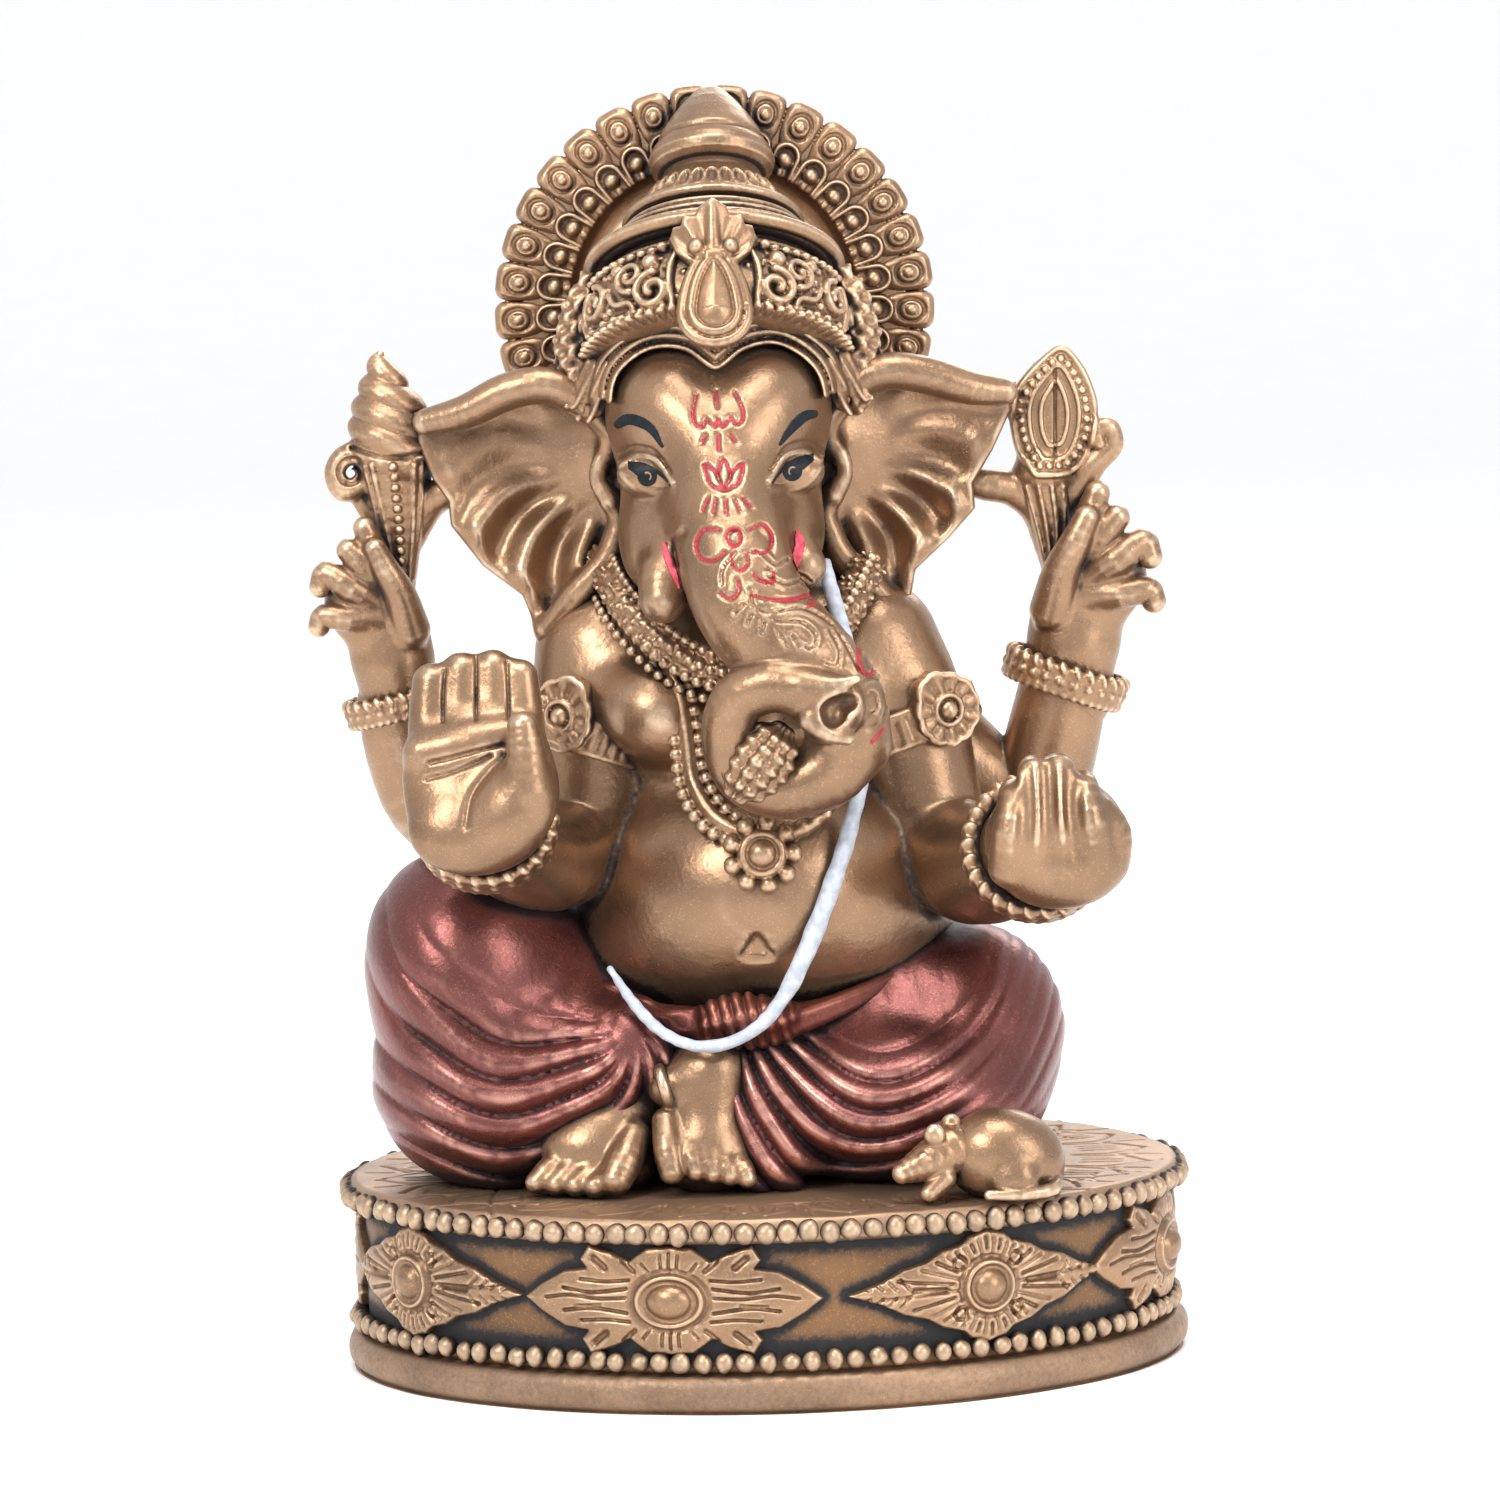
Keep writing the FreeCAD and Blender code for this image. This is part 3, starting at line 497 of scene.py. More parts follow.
def foot(p, toes, sole):
    """Toes on a sole, standing flat on the plinth."""
    d = sole
    for toe in toes:
        d = smin(d, tube(p, toe, 3), 0.7)
    return smax(d, SLAB_TOP - p[:, 2], 0.4)


def right_foot(p):
    sole = union(2.0, blob(p, (-19.4, -15.8, 27.0), (7.2, 5.4, 4.8), turn(1, 14)),
                 tube(p, [(-18.4, -14.8, 29.0, 5.2), (-15.0, -12.6, 33.0, 4.6), (-13.0, -10.6, 36.0, 4.0)]))
    toes = [[(-21.8 + 2.1 * i, -17.0 - 0.6 * i, 27.6 - 0.3 * i, 1.45),
             (-24.6 + 2.15 * i, -19.3 - 0.6 * i, 25.9 - 0.35 * i, 1.5),
             (-26.3 + 2.25 * i, -20.0 - 0.7 * i, 24.3 - 0.1 * i, 1.35)] for i in range(4)]
    toes.append([(-15.0, -18.4, 29.0, 2.2), (-16.2, -21.0, 26.6, 2.2), (-17.1, -22.2, 24.8, 1.9)])
    return foot(p, toes, sole)


def left_foot(p):
    sole = union(1.8, blob(p, (-6.4, -17.8, 26.8), (5.9, 4.9, 4.6)),
                 tube(p, [(-6.8, -17.2, 29.0, 4.7), (-5.8, -15.8, 36.0, 4.8)]),
                 tube(p, [(-11.0, -17.6, 34.8, 2.3), (-7.0, -16.6, 35.5, 3.6)]))
    toes = [[(-9.6 + 2.05 * i, -19.8, 29.4 - 0.8 * i, 1.25), (-8.4 + 2.0 * i, -21.9, 27.4 - 0.6 * i, 1.3),
             (-7.8 + 1.95 * i, -22.6, 25.6 - 0.35 * i, 1.15)] for i in range(4)]
    toes.append([(-11.2, -19.6, 31.0, 1.6), (-11.0, -21.6, 28.0, 1.7), (-10.6, -22.4, 25.6, 1.5)])
    d = foot(p, toes, sole)
    anklet = ring(p, (-11.2, -18.2, 34.8), 2.3, 0.7, turn(1, 75))
    return smin(d, anklet, 0.3)


ARMS = {
    "right_front_arm": [(-17.6, 2.0, 83.5, 7.6), (-18.4, 0.5, 77.0, 7.4), (-18.6, -0.5, 70.0, 6.7),
                        (-19.6, -2.5, 63.0, 6.2),
                        (-24.0, -9.0, 60.6, 6.1), (-29.0, -17.0, 63.6, 6.0), (-31.2, -23.0, 67.4, 5.4)],
    "left_front_arm": [(14.4, 2.0, 83.5, 8.0), (17.0, 0.6, 77.0, 8.0), (19.0, -0.6, 69.0, 7.3),
                       (21.0, -3.0, 61.5, 6.9),
                       (25.5, -9.5, 58.6, 6.9), (30.5, -17.5, 60.6, 6.6), (33.0, -23.0, 62.6, 5.8)],
    "right_rear_arm": [(-17.0, 7.5, 80.0, 6.2), (-26.0, 8.5, 71.5, 5.8), (-34.5, 8.0, 64.6, 5.4),
                       (-38.6, 7.0, 66.0, 5.2),
                       (-41.2, 6.4, 72.0, 4.8), (-42.4, 6.0, 78.0, 4.4)],
    "left_rear_arm": [(14.5, 7.5, 80.0, 6.2), (22.5, 8.5, 71.0, 6.0), (30.0, 8.0, 64.2, 5.8),
                      (33.8, 7.2, 65.6, 5.7),
                      (35.8, 6.4, 72.0, 5.6), (37.4, 6.0, 79.0, 5.2)],
}


# ------------------------------------------------------------------ hands

def open_palm(p):
    """The raised right palm, drawn flat to the viewer: joined fingers set back behind a raised pad."""
    q = (p - np.array((-31.2, -25.6, 74.0), F)) @ turn(0, -14)
    palm = blob(q, (0.0, 0.4, -2.6), (8.8, 3.6, 9.6))
    heel = blob(q, (-1.2, -1.0, -8.2), (6.8, 3.0, 4.6))
    thenar = blob(q, (4.2, -2.4, -5.2), (4.4, 3.6, 6.2), turn(1, 24))
    d = union(2.4, palm, heel, thenar)
    for x, top, r in ((-5.7, 11.8, 2.2), (-2.0, 13.0, 2.3), (1.8, 13.2, 2.3), (5.1, 12.0, 2.1)):
        finger = tube(q, [(x, 0.6, -1.0, r + 0.3), (x, 1.3, 5.0, r + 0.2), (x * 0.94, 1.2, top - r, r)], 3)
        d = smin(d, finger, 1.4)
    pad = tube(q, [(-6.4, -0.7, 1.2, 2.2), (-1.0, -1.3, 2.2, 2.2), (4.6, -0.9, 3.2, 1.9)], 3)
    d = smin(d, pad, 1.2)
    thumb = tube(q, [(5.4, -3.4, -3.4, 3.0), (5.4, -4.8, 0.6, 2.3), (5.2, -5.4, 3.2, 1.8)], 3)
    d = smin(d, thumb, 0.9)
    return d - PALM_RELIEF(q[:, 0], q[:, 2]) * ramp(-q[:, 1], -0.8, 0.6)


def palm_relief():
    r = Relief((-10, -14), (10, 15))
    for x0, x1, top in ((-4.0, -3.7, 10.6), (-0.2, -0.1, 12.2), (3.5, 3.4, 11.4)):
        r.stroke([(x0, 4.6), (x0, 7.6), (x1, top)], 0.5, -0.42)
    r.stroke([(-5.6, -0.2), (-2.4, 0.4), (2.9, 1.6)], 0.8, -0.38)
    r.stroke([(-6.0, -2.0), (-2.4, -1.2), (1.4, 0.4)], 0.8, -0.38)
    r.stroke([(-1.6, -7.6), (-0.8, -4.2), (1.2, -1.6), (3.0, 0.2)], 1.5, -0.34)
    return r


PALM_RELIEF = palm_relief()


def lowered_hand(p):
    """The figure's left front hand: four fingers close together like a bud over a folded palm."""
    back = blob(p, (34.4, -25.6, 63.4), (8.2, 5.0, 7.4), turn(1, -10))
    heel = blob(p, (35.2, -27.0, 60.4), (6.8, 4.4, 4.6))
    d = smin(back, heel, 2.0)
    for x0, z0, x1, z1, r in ((28.8, 61.6, 29.6, 68.2, 2.1), (31.8, 61.6, 32.0, 70.8, 2.2),
                              (35.2, 62.0, 34.8, 71.0, 2.2),
                              (38.6, 62.2, 37.6, 69.0, 2.1)):
        finger = tube(p, [(x0, -28.0, z0 - 1.0, r + 0.2),
                          (x0 * 0.5 + x1 * 0.5, -29.8, (z0 + z1) / 2, r + 0.1), (x1, -28.6, z1, r - 0.2),
                          (x1, -26.8, z1 + 0.7, r - 0.4)], 3)
        d = smin(d, finger, 0.9)
    d = smin(d, tube(p, [(40.2, -26.2, 61.0, 2.5), (41.0, -27.2, 64.0, 2.0), (39.8, -28.2, 66.8, 1.5)], 3),
             1.2)
    for low, high in ((30.4, 31.0), (33.5, 33.4), (36.8, 36.2)):
        groove = tube(p, [(low + 0.4, -32.0, 58.4, 0.4), (low, -32.4, 62.0, 0.9), (high, -31.9, 66.5, 1.0),
                          (high, -30.6, 72.0, 0.9)], 3)
        d = smax(d, -groove, 0.9)
    return d


def rear_hand(p, side):
    """A fist whose thumb lies up the emblem's stem. Drawn for the viewer's left; side 1 mirrors it."""
    x0, z0, size = ((-42.5, 86.0, 1.0), (38.6, 86.2, 1.12))[side > 0]
    q = (p - np.array((x0, 4.6, z0), F)) / F(size)
    if side > 0:
        q = q * np.array((-1, 1, 1), F)
    palm = blob(q, (-0.3, 0.6, 0.2), (4.9, 4.2, 6.8), turn(1, -8))
    wrist = tube(q, [(0.4, 1.2, -8.5, 4.2), (0.4, 0.8, -4.0, 4.6)])
    side_of_fist = blob(q, (-3.8, -1.2, 4.4), (3.8, 2.9, 4.6))
    d = union(2.2, palm, wrist, side_of_fist)
    curled = (((0.0, -1.6, 7.4, 1.7), (-1.5, -2.6, 10.6, 1.6), (-2.5, -2.8, 13.2, 1.35)),
              ((-0.8, -2.0, 6.2, 1.6), (-2.8, -3.6, 8.8, 1.6), (-4.4, -3.4, 10.6, 1.45)),
              ((-1.2, -2.2, 4.4, 1.6), (-4.2, -3.8, 6.2, 1.65), (-7.0, -3.2, 7.9, 1.55),
               (-7.9, -3.4, 6.4, 1.3)),
              ((-1.0, -2.2, 2.4, 1.5), (-4.6, -3.4, 2.6, 1.55), (-7.4, -3.2, 2.9, 1.5),
               (-8.2, -3.2, 1.7, 1.3)))
    for stations in curled:
        d = smin(d, tube(q, list(stations), 3), 0.6)
    thumb = tube(q, [(2.6, -2.4, 1.0, 2.3), (1.6, -4.0, 5.2, 1.9), (0.0, -4.9, 8.4, 1.6),
                     (-1.2, -4.8, 10.8, 1.3)], 3)
    d = smin(d, thumb, 0.8)
    return d * F(size)


# ------------------------------------------------------------------ head, ears, trunk

HAIRLINE = [(-15.0, 111.5), (-14.7, 115.6), (-13.2, 118.0), (-10.2, 119.7), (-6.6, 119.5), (-3.1, 117.3),
            (0.4, 119.4), (3.8, 119.9), (7.0, 118.2),
            (8.8, 115.6), (9.2, 111.5)]
TRUNK = [(-2.4, -12.5, 107.5, 6.4), (-2.2, -17.0, 101.0, 6.4), (-1.2, -20.5, 95.0, 6.5),
         (0.9, -22.8, 89.8, 6.4),
         (5.4, -24.0, 85.0, 6.1), (10.0, -24.2, 80.2, 5.4), (11.2, -24.0, 75.2, 4.7)]
TRUNK_CURL = [(11.2, -24.0, 75.2, 4.7), (8.2, -24.2, 71.6, 4.2), (3.2, -24.6, 70.0, 3.6),
              (-1.2, -25.2, 71.8, 3.2), (-2.7, -26.2, 76.4, 3.1),
              (-1.4, -27.2, 80.6, 3.1), (2.6, -28.2, 82.3, 3.2), (6.8, -28.8, 81.3, 3.3),
              (9.4, -29.0, 79.6, 3.5)]


def skull(p):
    head = blob(p, (MID_X - 0.1, -3.4, 109.2), (12.4, 12.4, 12.2))
    cheeks = blob(p, (MID_X, -5.0, 99.0), (11.2, 10.6, 10.2))
    bulge_r = blob(p, (MID_X - 5.2, -6.6, 112.6), (7.0, 9.4, 7.2))
    bulge_l = blob(p, (MID_X + 5.0, -6.6, 112.6), (7.0, 9.4, 7.2))
    jaw_r = blob(p, (MID_X - 7.2, -8.4, 97.4), (4.6, 6.0, 6.4))
    jaw_l = blob(p, (MID_X + 6.8, -8.4, 97.8), (4.6, 6.0, 6.4))
    temples = blob(p, (MID_X - 0.1, -4.2, 112.8), (12.7, 9.2, 9.2))
    d = smin(union(4.5, head, cheeks), temples, 2.0)
    d = union(3.0, d, bulge_r, bulge_l, jaw_r, jaw_l)
    for side in (-1, 1):
        socket = blob(p, (MID_X + side * 8.8, -16.6, 105.0), (3.9, 3.2, 3.0))
        d = smax(d, -socket, 3.0)
        ball = blob(p, (MID_X + side * 8.6, -11.9, 105.4), (3.4, 2.5, 2.5))
        d = smin(d, ball, 0.9)
    return d


def face_relief():
    r = Relief((-20, 60), (20, 125))
    for side in (-1, 1):
        c = MID_X + side * 8.7
        upper = [(c + side * 3.0, 106.4), (c + side * 1.0, 107.5), (c - side * 1.2, 107.0),
                 (c - side * 3.0, 104.6)]
        lower = [(c + side * 3.0, 106.4), (c + side * 1.2, 104.4), (c - side * 0.6, 103.9),
                 (c - side * 3.0, 104.6)]
        r.stroke([(x, z + 0.35) for x, z in upper], 0.9, 0.36)
        r.stroke([(x, z + 1.35) for x, z in upper], 0.6, -0.22)
        r.stroke([(x, z - 0.4) for x, z in lower], 0.8, 0.12)
        r.stroke([(c - side * 4.4, 99.5), (c - side * 3.2, 98.0), (c - side * 3.4, 95.5)], 1.2, -0.35)
    for mark in TILAK:
        r.stroke(mark, 0.62, -0.34)
    r.hoop(LOTUS_EYE, 0.72, 0.55, -0.34)
    scrolls = [[(3.0, 90.6), (6.0, 90.9), (9.0, 89.2), (11.0, 86.4), (12.4, 83.6)],
               [(1.4, 91.4), (3.2, 89.6), (6.0, 89.4), (7.6, 87.8), (7.0, 86.4), (5.8, 87.0)],
               [(2.4, 94.6), (4.4, 93.6), (6.0, 93.8), (7.2, 93.0)],
               [(9.2, 88.2), (10.2, 86.0), (9.8, 84.2), (8.6, 84.6)],
               [(0.2, 93.4), (0.6, 91.4), (2.2, 90.4)], [(-1.2, 97.4), (-2.8, 95.6), (-3.0, 93.8)],
               [(1.8, 97.0), (3.2, 95.8), (4.6, 96.2)],
               [(3.4, 88.4), (4.2, 87.0)], [(4.9, 88.0), (5.6, 86.6)], [(-0.6, 91.6), (-1.6, 90.6)],
               [(0.4, 90.6), (-0.2, 89.4)],
               [(1.8, 89.6), (1.4, 88.4)]]
    for line in scrolls:
        r.stroke(line, 1.3, 0.2)
        r.stroke(line, 0.45, -0.42)
    r.hoop((13.6, 79.8), 1.9, 0.5, -0.4, 1.5)
    r.hoop((13.6, 79.8), 0.8, 0.4, -0.35, 1.5)
    return r


TILAK = [[(-5.4, 114.9), (-5.8, 113.0), (-5.6, 111.6), (-4.8, 111.3), (-4.2, 112.1)],
         [(-0.9, 114.9), (-0.1, 113.2), (-0.1, 111.9), (-0.8, 111.4), (-1.5, 112.2)],
         [(-4.1, 111.9), (-3.3, 111.2), (-2.9, 112.0), (-2.5, 111.2), (-1.7, 111.9)],
         [(-3.1, 115.2), (-3.0, 113.3)], [(-4.4, 110.3), (-4.8, 109.5)], [(-2.9, 110.3), (-2.9, 108.5)],
         [(-1.6, 110.3), (-0.9, 109.4)],
         # a plain lotus: a middle petal with two on each side
         [(-2.4, 104.3), (-3.1, 105.8), (-2.4, 107.5), (-1.7, 105.8), (-2.4, 104.3)],
         [(-2.6, 104.2), (-4.1, 105.0), (-4.6, 106.9), (-3.5, 106.3), (-2.9, 105.2)],
         [(-2.2, 104.2), (-0.7, 105.0), (-0.2, 106.9), (-1.3, 106.3), (-1.9, 105.2)],
         [(-4.3, 103.3), (-4.9, 101.9)], [(-3.4, 103.2), (-3.7, 101.6)], [(-2.3, 103.2), (-2.2, 101.5)],
         [(-1.2, 103.2), (-0.6, 101.7)],
         [(-0.3, 103.2), (0.6, 102.1)],
         [(-3.1, 99.9), (-4.9, 99.8), (-5.8, 98.1), (-5.2, 96.7), (-3.7, 96.5), (-2.5, 97.4)],
         [(0.4, 99.8), (1.9, 100.2), (2.9, 98.7), (2.3, 97.3), (0.7, 97.3)],
         [(-1.8, 97.3), (-1.6, 95.8), (-0.8, 95.3), (0.1, 96.1), (0.0, 97.1)],
         [(-1.1, 94.3), (-1.1, 93.0), (-2.1, 92.2), (-3.2, 92.8)],
         [(0.7, 94.9), (1.4, 94.2), (2.9, 94.0), (2.9, 94.9)],
         [(0.4, 92.6), (2.9, 92.0), (5.1, 91.9), (6.7, 92.1), (7.6, 91.3), (6.8, 91.0)],
         [(10.7, 89.0), (12.2, 86.7), (12.5, 84.0), (13.6, 83.0), (14.3, 83.7), (13.7, 84.5)],
         [(13.6, 75.4), (14.4, 76.2), (15.0, 76.8)]]
LOTUS_EYE = (-1.4, 99.0)
FACE_RELIEF = face_relief()


def tusks(p):
    right = tube(p, [(MID_X - 5.6, -12.0, 97.0, 2.0), (MID_X - 6.7, -15.2, 94.2, 2.2),
                     (MID_X - 7.0, -16.6, 91.4, 1.9)], 3)
    left = tube(p, [(MID_X + 6.6, -10.0, 98.6, 1.8), (MID_X + 8.4, -12.6, 96.4, 1.8),
                    (MID_X + 9.4, -14.2, 94.6, 1.6)], 3)
    return np.minimum(right, left)


def face_surface(p):
    """Head, tusk sleeves and trunk as one skin with the marks engraved in it."""
    d = smin(skull(p), tube(p, TRUNK, 3), 5.0)
    d = smin(d, tusks(p) - 0.9, 1.2)
    curl = tube(p, TRUNK_CURL, 4)
    flare = blob(p, (8.8, -29.0, 79.4), (3.0, 3.0, 3.9), turn(1, 20))
    lip = tube(p, [(6.0, -30.4, 82.4, 1.6), (9.4, -31.4, 82.3, 1.1), (12.0, -31.4, 83.0, 0.45)], 3)
    under = tube(p, [(6.6, -31.2, 78.4, 1.2), (8.6, -31.8, 76.8, 0.9), (10.8, -30.8, 76.2, 0.8)], 3)
    curl = smin(smin(curl, flare, 1.6), lip, 1.0)
    curl = smin(curl, under, 1.0)
    nostril = union(0.5, blob(p, (10.4, -32.6, 80.2), (2.6, 2.6, 1.2), turn(1, -14)),
                    blob(p, (9.4, -32.4, 79.2), (1.5, 2.0, 1.6)))
    curl = smax(curl, -nostril, 0.5)
    d = smin(d, curl, 0.6)
    return d - FACE_RELIEF(p[:, 0], p[:, 2]) * ramp(-p[:, 1], 1.0, 6.0) * ramp(curl, -0.1, 1.0)


def sweet(p):
    q = (p - np.array((0.8, -27.6, 73.4), F)) @ turn(1, 38)
    d = blob(q, (0, 0, 0), (3.6, 3.0, 5.0))
    angle = np.arctan2(q[:, 1], q[:, 0])
    ribs = np.abs(np.sin(angle * 4.5)) ** 0.7
    rings = 0.3 * np.cos(q[:, 2] * 3.6)
    return d - 0.55 * (ribs - 0.6) - rings * 0.6


def ear(p, side):
    """A thin lobed pan behind a thick rolled upper edge, pleated towards its outer lower edge."""
    x = (p[:, 0] - F(MID_X)) * side
    z, y = p[:, 2], p[:, 1]
    q = np.stack([x, y, z], 1)
    outline = EAR_R if side < 0 else EAR_L
    edge = flat_polygon(x, z, outline)
    fan = np.arctan2(z - 108.0, x - 12.0)
    reach = np.hypot(x - 12.0, z - 108.0)
    low = ramp(-fan, 0.05, 0.6)
    pleat = np.sin(fan * 15 + 0.12 * reach + 0.9 * np.sin(reach * 0.35)) * ramp(reach, 7, 14)
    pleat = pleat * (0.35 + 0.75 * low)
    depth = 1.4 + 3.0 * np.exp(-((reach - 9.5) / 7.0) ** 2) * ramp(-edge, 0, 4.0) + 0.08 * (x - 14.0)
    mid = depth - 1.0 - pleat * ramp(-edge, 0.3, 2.5)
    pan = smax(np.abs(y - mid) - 1.15, edge, 0.8)
    roll = tube(q, EAR_ROLL[side], 4)
    rim = tube(q, EAR_RIM[side], 4)
    canal = tube(q, [(12.0, -1.0, 108.4, 1.3), (14.0, -1.4, 106.6, 1.2), (14.4, -1.6, 104.2, 1.1),
                     (13.2, -1.8, 102.0, 1.3)], 4)
    hollow = tube(q, [(15.8, -0.6, 106.6, 0.8), (16.8, -0.4, 104.6, 1.1), (15.8, -0.6, 102.4, 0.8)], 3)
    groove = tube(q, [(a, b - 1.8, c - r - 1.3, 1.1) for a, b, c, r in EAR_ROLL[side]], 4)
    d = smin(pan, roll, 1.0)
    d = smin(d, rim, 1.8)
    d = smin(d, canal, 2.0)
    d = smax(d, -hollow, 1.0)
    return smax(d, -groove, 0.8)


def flat_polygon(x, z, points):
    """Signed distance in the plane to a closed polygon."""
    pts = np.array(points, float)
    inside = np.zeros(len(x), bool)
    best = np.full(len(x), 1e6)
    for a, b in zip(pts, np.roll(pts, -1, 0)):
        d = b - a
        h = np.clip(((x - a[0]) * d[0] + (z - a[1]) * d[1]) / (d @ d), 0, 1)
        best = np.minimum(best, (x - a[0] - h * d[0]) ** 2 + (z - a[1] - h * d[1]) ** 2)
        spans = (a[1] > z) != (b[1] > z)
        with np.errstate(divide="ignore", invalid="ignore"):
            inside ^= spans & (x < d[0] * (z - a[1]) / (d[1] if d[1] else 1e-9) + a[0])
    return (np.where(inside, -1, 1) * np.sqrt(best)).astype(F)


def closed_spline(points, steps=4):
    pts = list(points)
    return spline(pts[-2:] + pts + pts[:2], steps)[2 * steps:-2 * steps - 1]


EAR_L = [(11.5, 112.5), (14.6, 116.2), (18.6, 118.2), (23.0, 117.8), (28.0, 116.0), (32.0, 115.4),
         (35.0, 114.4), (34.2, 111.0), (32.0, 106.4),
         (29.6, 102.6), (29.8, 99.6), (26.6, 96.2), (22.6, 92.6), (21.8, 88.4), (21.4, 85.4), (17.0, 88.0),
         (12.5, 91.5), (10.6, 98.0), (11.0, 106.0)]
EAR_R = [(11.5, 112.5), (15.0, 115.4), (19.6, 117.6), (24.4, 117.2), (29.0, 114.6), (33.2, 113.4),
         (36.0, 112.6), (35.6, 109.0), (34.0, 104.8),
         (32.2, 102.0), (32.0, 99.2), (28.4, 94.4), (23.8, 90.8), (22.6, 87.6), (22.0, 84.8), (17.4, 88.0),
         (12.5, 91.5), (10.6, 98.0), (11.0, 106.0)]
EAR_ROLL = {1: [(12.6, -2.4, 110.4, 1.5), (15.4, -2.4, 114.4, 2.0), (19.6, -2.6, 116.2, 2.2),
                (24.4, -2.2, 115.6, 2.2), (29.4, -1.6, 114.0, 2.0),
                (33.4, -0.6, 113.4, 1.6)],
            -1: [(12.6, -2.4, 109.8, 1.5), (15.6, -2.4, 113.4, 2.0), (20.0, -2.6, 115.6, 2.2),
                 (24.8, -2.2, 115.0, 2.2), (29.6, -1.6, 112.8, 2.0),
                 (34.4, -0.6, 111.6, 1.6)]}
EAR_RIM = {1: [(11.8, -1.2, 99.6, 1.5), (13.8, -1.6, 94.8, 1.6), (17.4, -1.4, 91.0, 1.6),
               (20.4, -0.6, 87.6, 1.2)],
           -1: [(11.8, -1.2, 99.6, 1.5), (13.8, -1.6, 94.8, 1.6), (17.6, -1.4, 90.8, 1.6),
                (21.0, -0.6, 87.0, 1.2)]}


# ------------------------------------------------------------------ emblems

def shell_emblem(p):
    """A spiral shell on a beaded, fluted stem with a side curl, at the viewer's left."""
    y = 5.0
    stem = tube(p, [(-41.0, y, 88.0, 1.2), (-40.8, y, 93.0, 1.6), (-40.9, y, 98.0, 2.5),
                    (-41.2, y, 103.0, 3.6), (-41.4, y, 107.6, 4.6)], 3)
    cone = tube(p, [(-41.4, y, 108.2, 5.0), (-41.8, y, 111.0, 4.7), (-42.2, y, 114.0, 3.4),
                    (-42.6, y, 117.0, 1.8), (-42.8, y, 119.0, 0.9)], 3)
    height = p[:, 2] - 108.0 + 0.35 * (p[:, 0] + 42)
    cone = cone - 0.55 * (np.abs(np.sin(height * 1.12)) ** 0.8 - 0.5)
    curl = tube(p, [(-43.4, y - 0.6, 107.0, 1.3), (-46.6, y - 1.0, 107.6, 1.5),
                    (-48.2, y - 1.2, 105.8, 1.4), (-47.4, y - 1.4, 103.6, 1.4),
                    (-45.4, y - 1.4, 104.2, 1.1)], 4)
    leaf = tube(p, [(-46.2, y - 0.4, 103.4, 1.0), (-44.6, y - 0.2, 100.4, 0.9), (-43.0, y, 97.4, 0.7)], 3)
    strut = tube(p, [(-39.6, y, 98.0, 1.8), (-37.4, y - 0.6, 101.6, 1.9), (-35.0, 3.4, 103.2, 1.9),
                     (-32.4, 3.8, 104.2, 1.4)], 3)
    lug = tube(p, [(-37.6, y, 109.6, 1.5), (-35.8, 3.4, 108.8, 1.5)], 2)
    d = union(0.8, smin(stem, cone, 1.0), curl, leaf, strut, lug)
    marks = SHELL_RELIEF(p[:, 0], p[:, 2])
    return d - marks * ramp(y - p[:, 1], -0.5, 1.0) - 0.3 * marks * ramp(p[:, 1] - y, 0.5, 1.5)


def shell_relief():
    r = Relief((-52, 85), (-33, 122))
    r.beads([(-40.9, 90.0), (-40.9, 98.0), (-41.3, 106.4)], 1.25, 0.55, 0.55)
    for x in (-1.7, 1.7):
        r.stroke([(-40.9 + x * 0.5, 91.0), (-40.9 + x, 99.0), (-41.3 + x * 1.5, 106.6)], 0.8, 0.35)
    for x in (-2.9, 2.9):
        r.stroke([(-40.9 + x * 0.5, 93.0), (-40.9 + x * 0.8, 99.0), (-41.3 + x * 1.2, 106.4)], 0.7, 0.3)
    r.stroke([(-46.2, 108.6), (-41.3, 107.4), (-36.6, 108.2)], 0.9, -0.5)
    r.curl((-46.4, 105.6), 1.9, 60, 1.4, 0.7, -0.4)
    return r


SHELL_RELIEF = shell_relief()


def blade_emblem(p):
    """A leaf-shaped blade with beaded borders on a socket and stem, at the viewer's right."""
    y = 5.0
    x, z = p[:, 0], p[:, 2]
    edge = flat_polygon(x, z, BLADE)
    half = 1.7 + 0.5 * ramp(-edge, 0, 2)
    blade = smax(np.abs(p[:, 1] - y) - half, edge, 0.9)
    stem = tube(p, [(36.6, y, 88.0, 1.3), (36.6, y, 92.0, 1.8), (36.0, y, 96.6, 2.6),
                    (35.4, y, 101.0, 3.3), (35.2, y, 103.2, 3.6)], 3)
    band = ring(p, (35.2, y, 103.0), 3.0, 0.8, turn(0, 0))
    hook = tube(p, [(37.6, y - 0.4, 99.0, 1.3), (39.6, y - 0.8, 101.6, 1.5), (41.2, y - 1.0, 104.4, 1.6),
                    (43.4, y - 1.2, 106.4, 1.3),
                    (43.0, y - 1.6, 108.6, 1.2), (41.4, y - 1.8, 108.2, 1.1), (41.8, y - 2.0, 106.8, 0.9)],
                4)
    strut = tube(p, [(35.6, y, 98.0, 1.7), (31.6, y - 0.8, 101.4, 1.9), (28.4, 3.4, 102.2, 1.9),
                     (25.0, 3.8, 102.8, 1.4)], 3)
    lug = tube(p, [(32.4, y - 0.4, 111.0, 1.3), (31.0, 2.4, 112.0, 1.4)], 2)
    d = union(0.8, smin(blade, stem, 0.8), smin(band, hook, 0.5), strut, lug)
    marks = BLADE_RELIEF(x, z)
    return d - marks * ramp(y - p[:, 1], -0.5, 1.0) - 0.3 * marks * ramp(p[:, 1] - y, 0.5, 1.5)


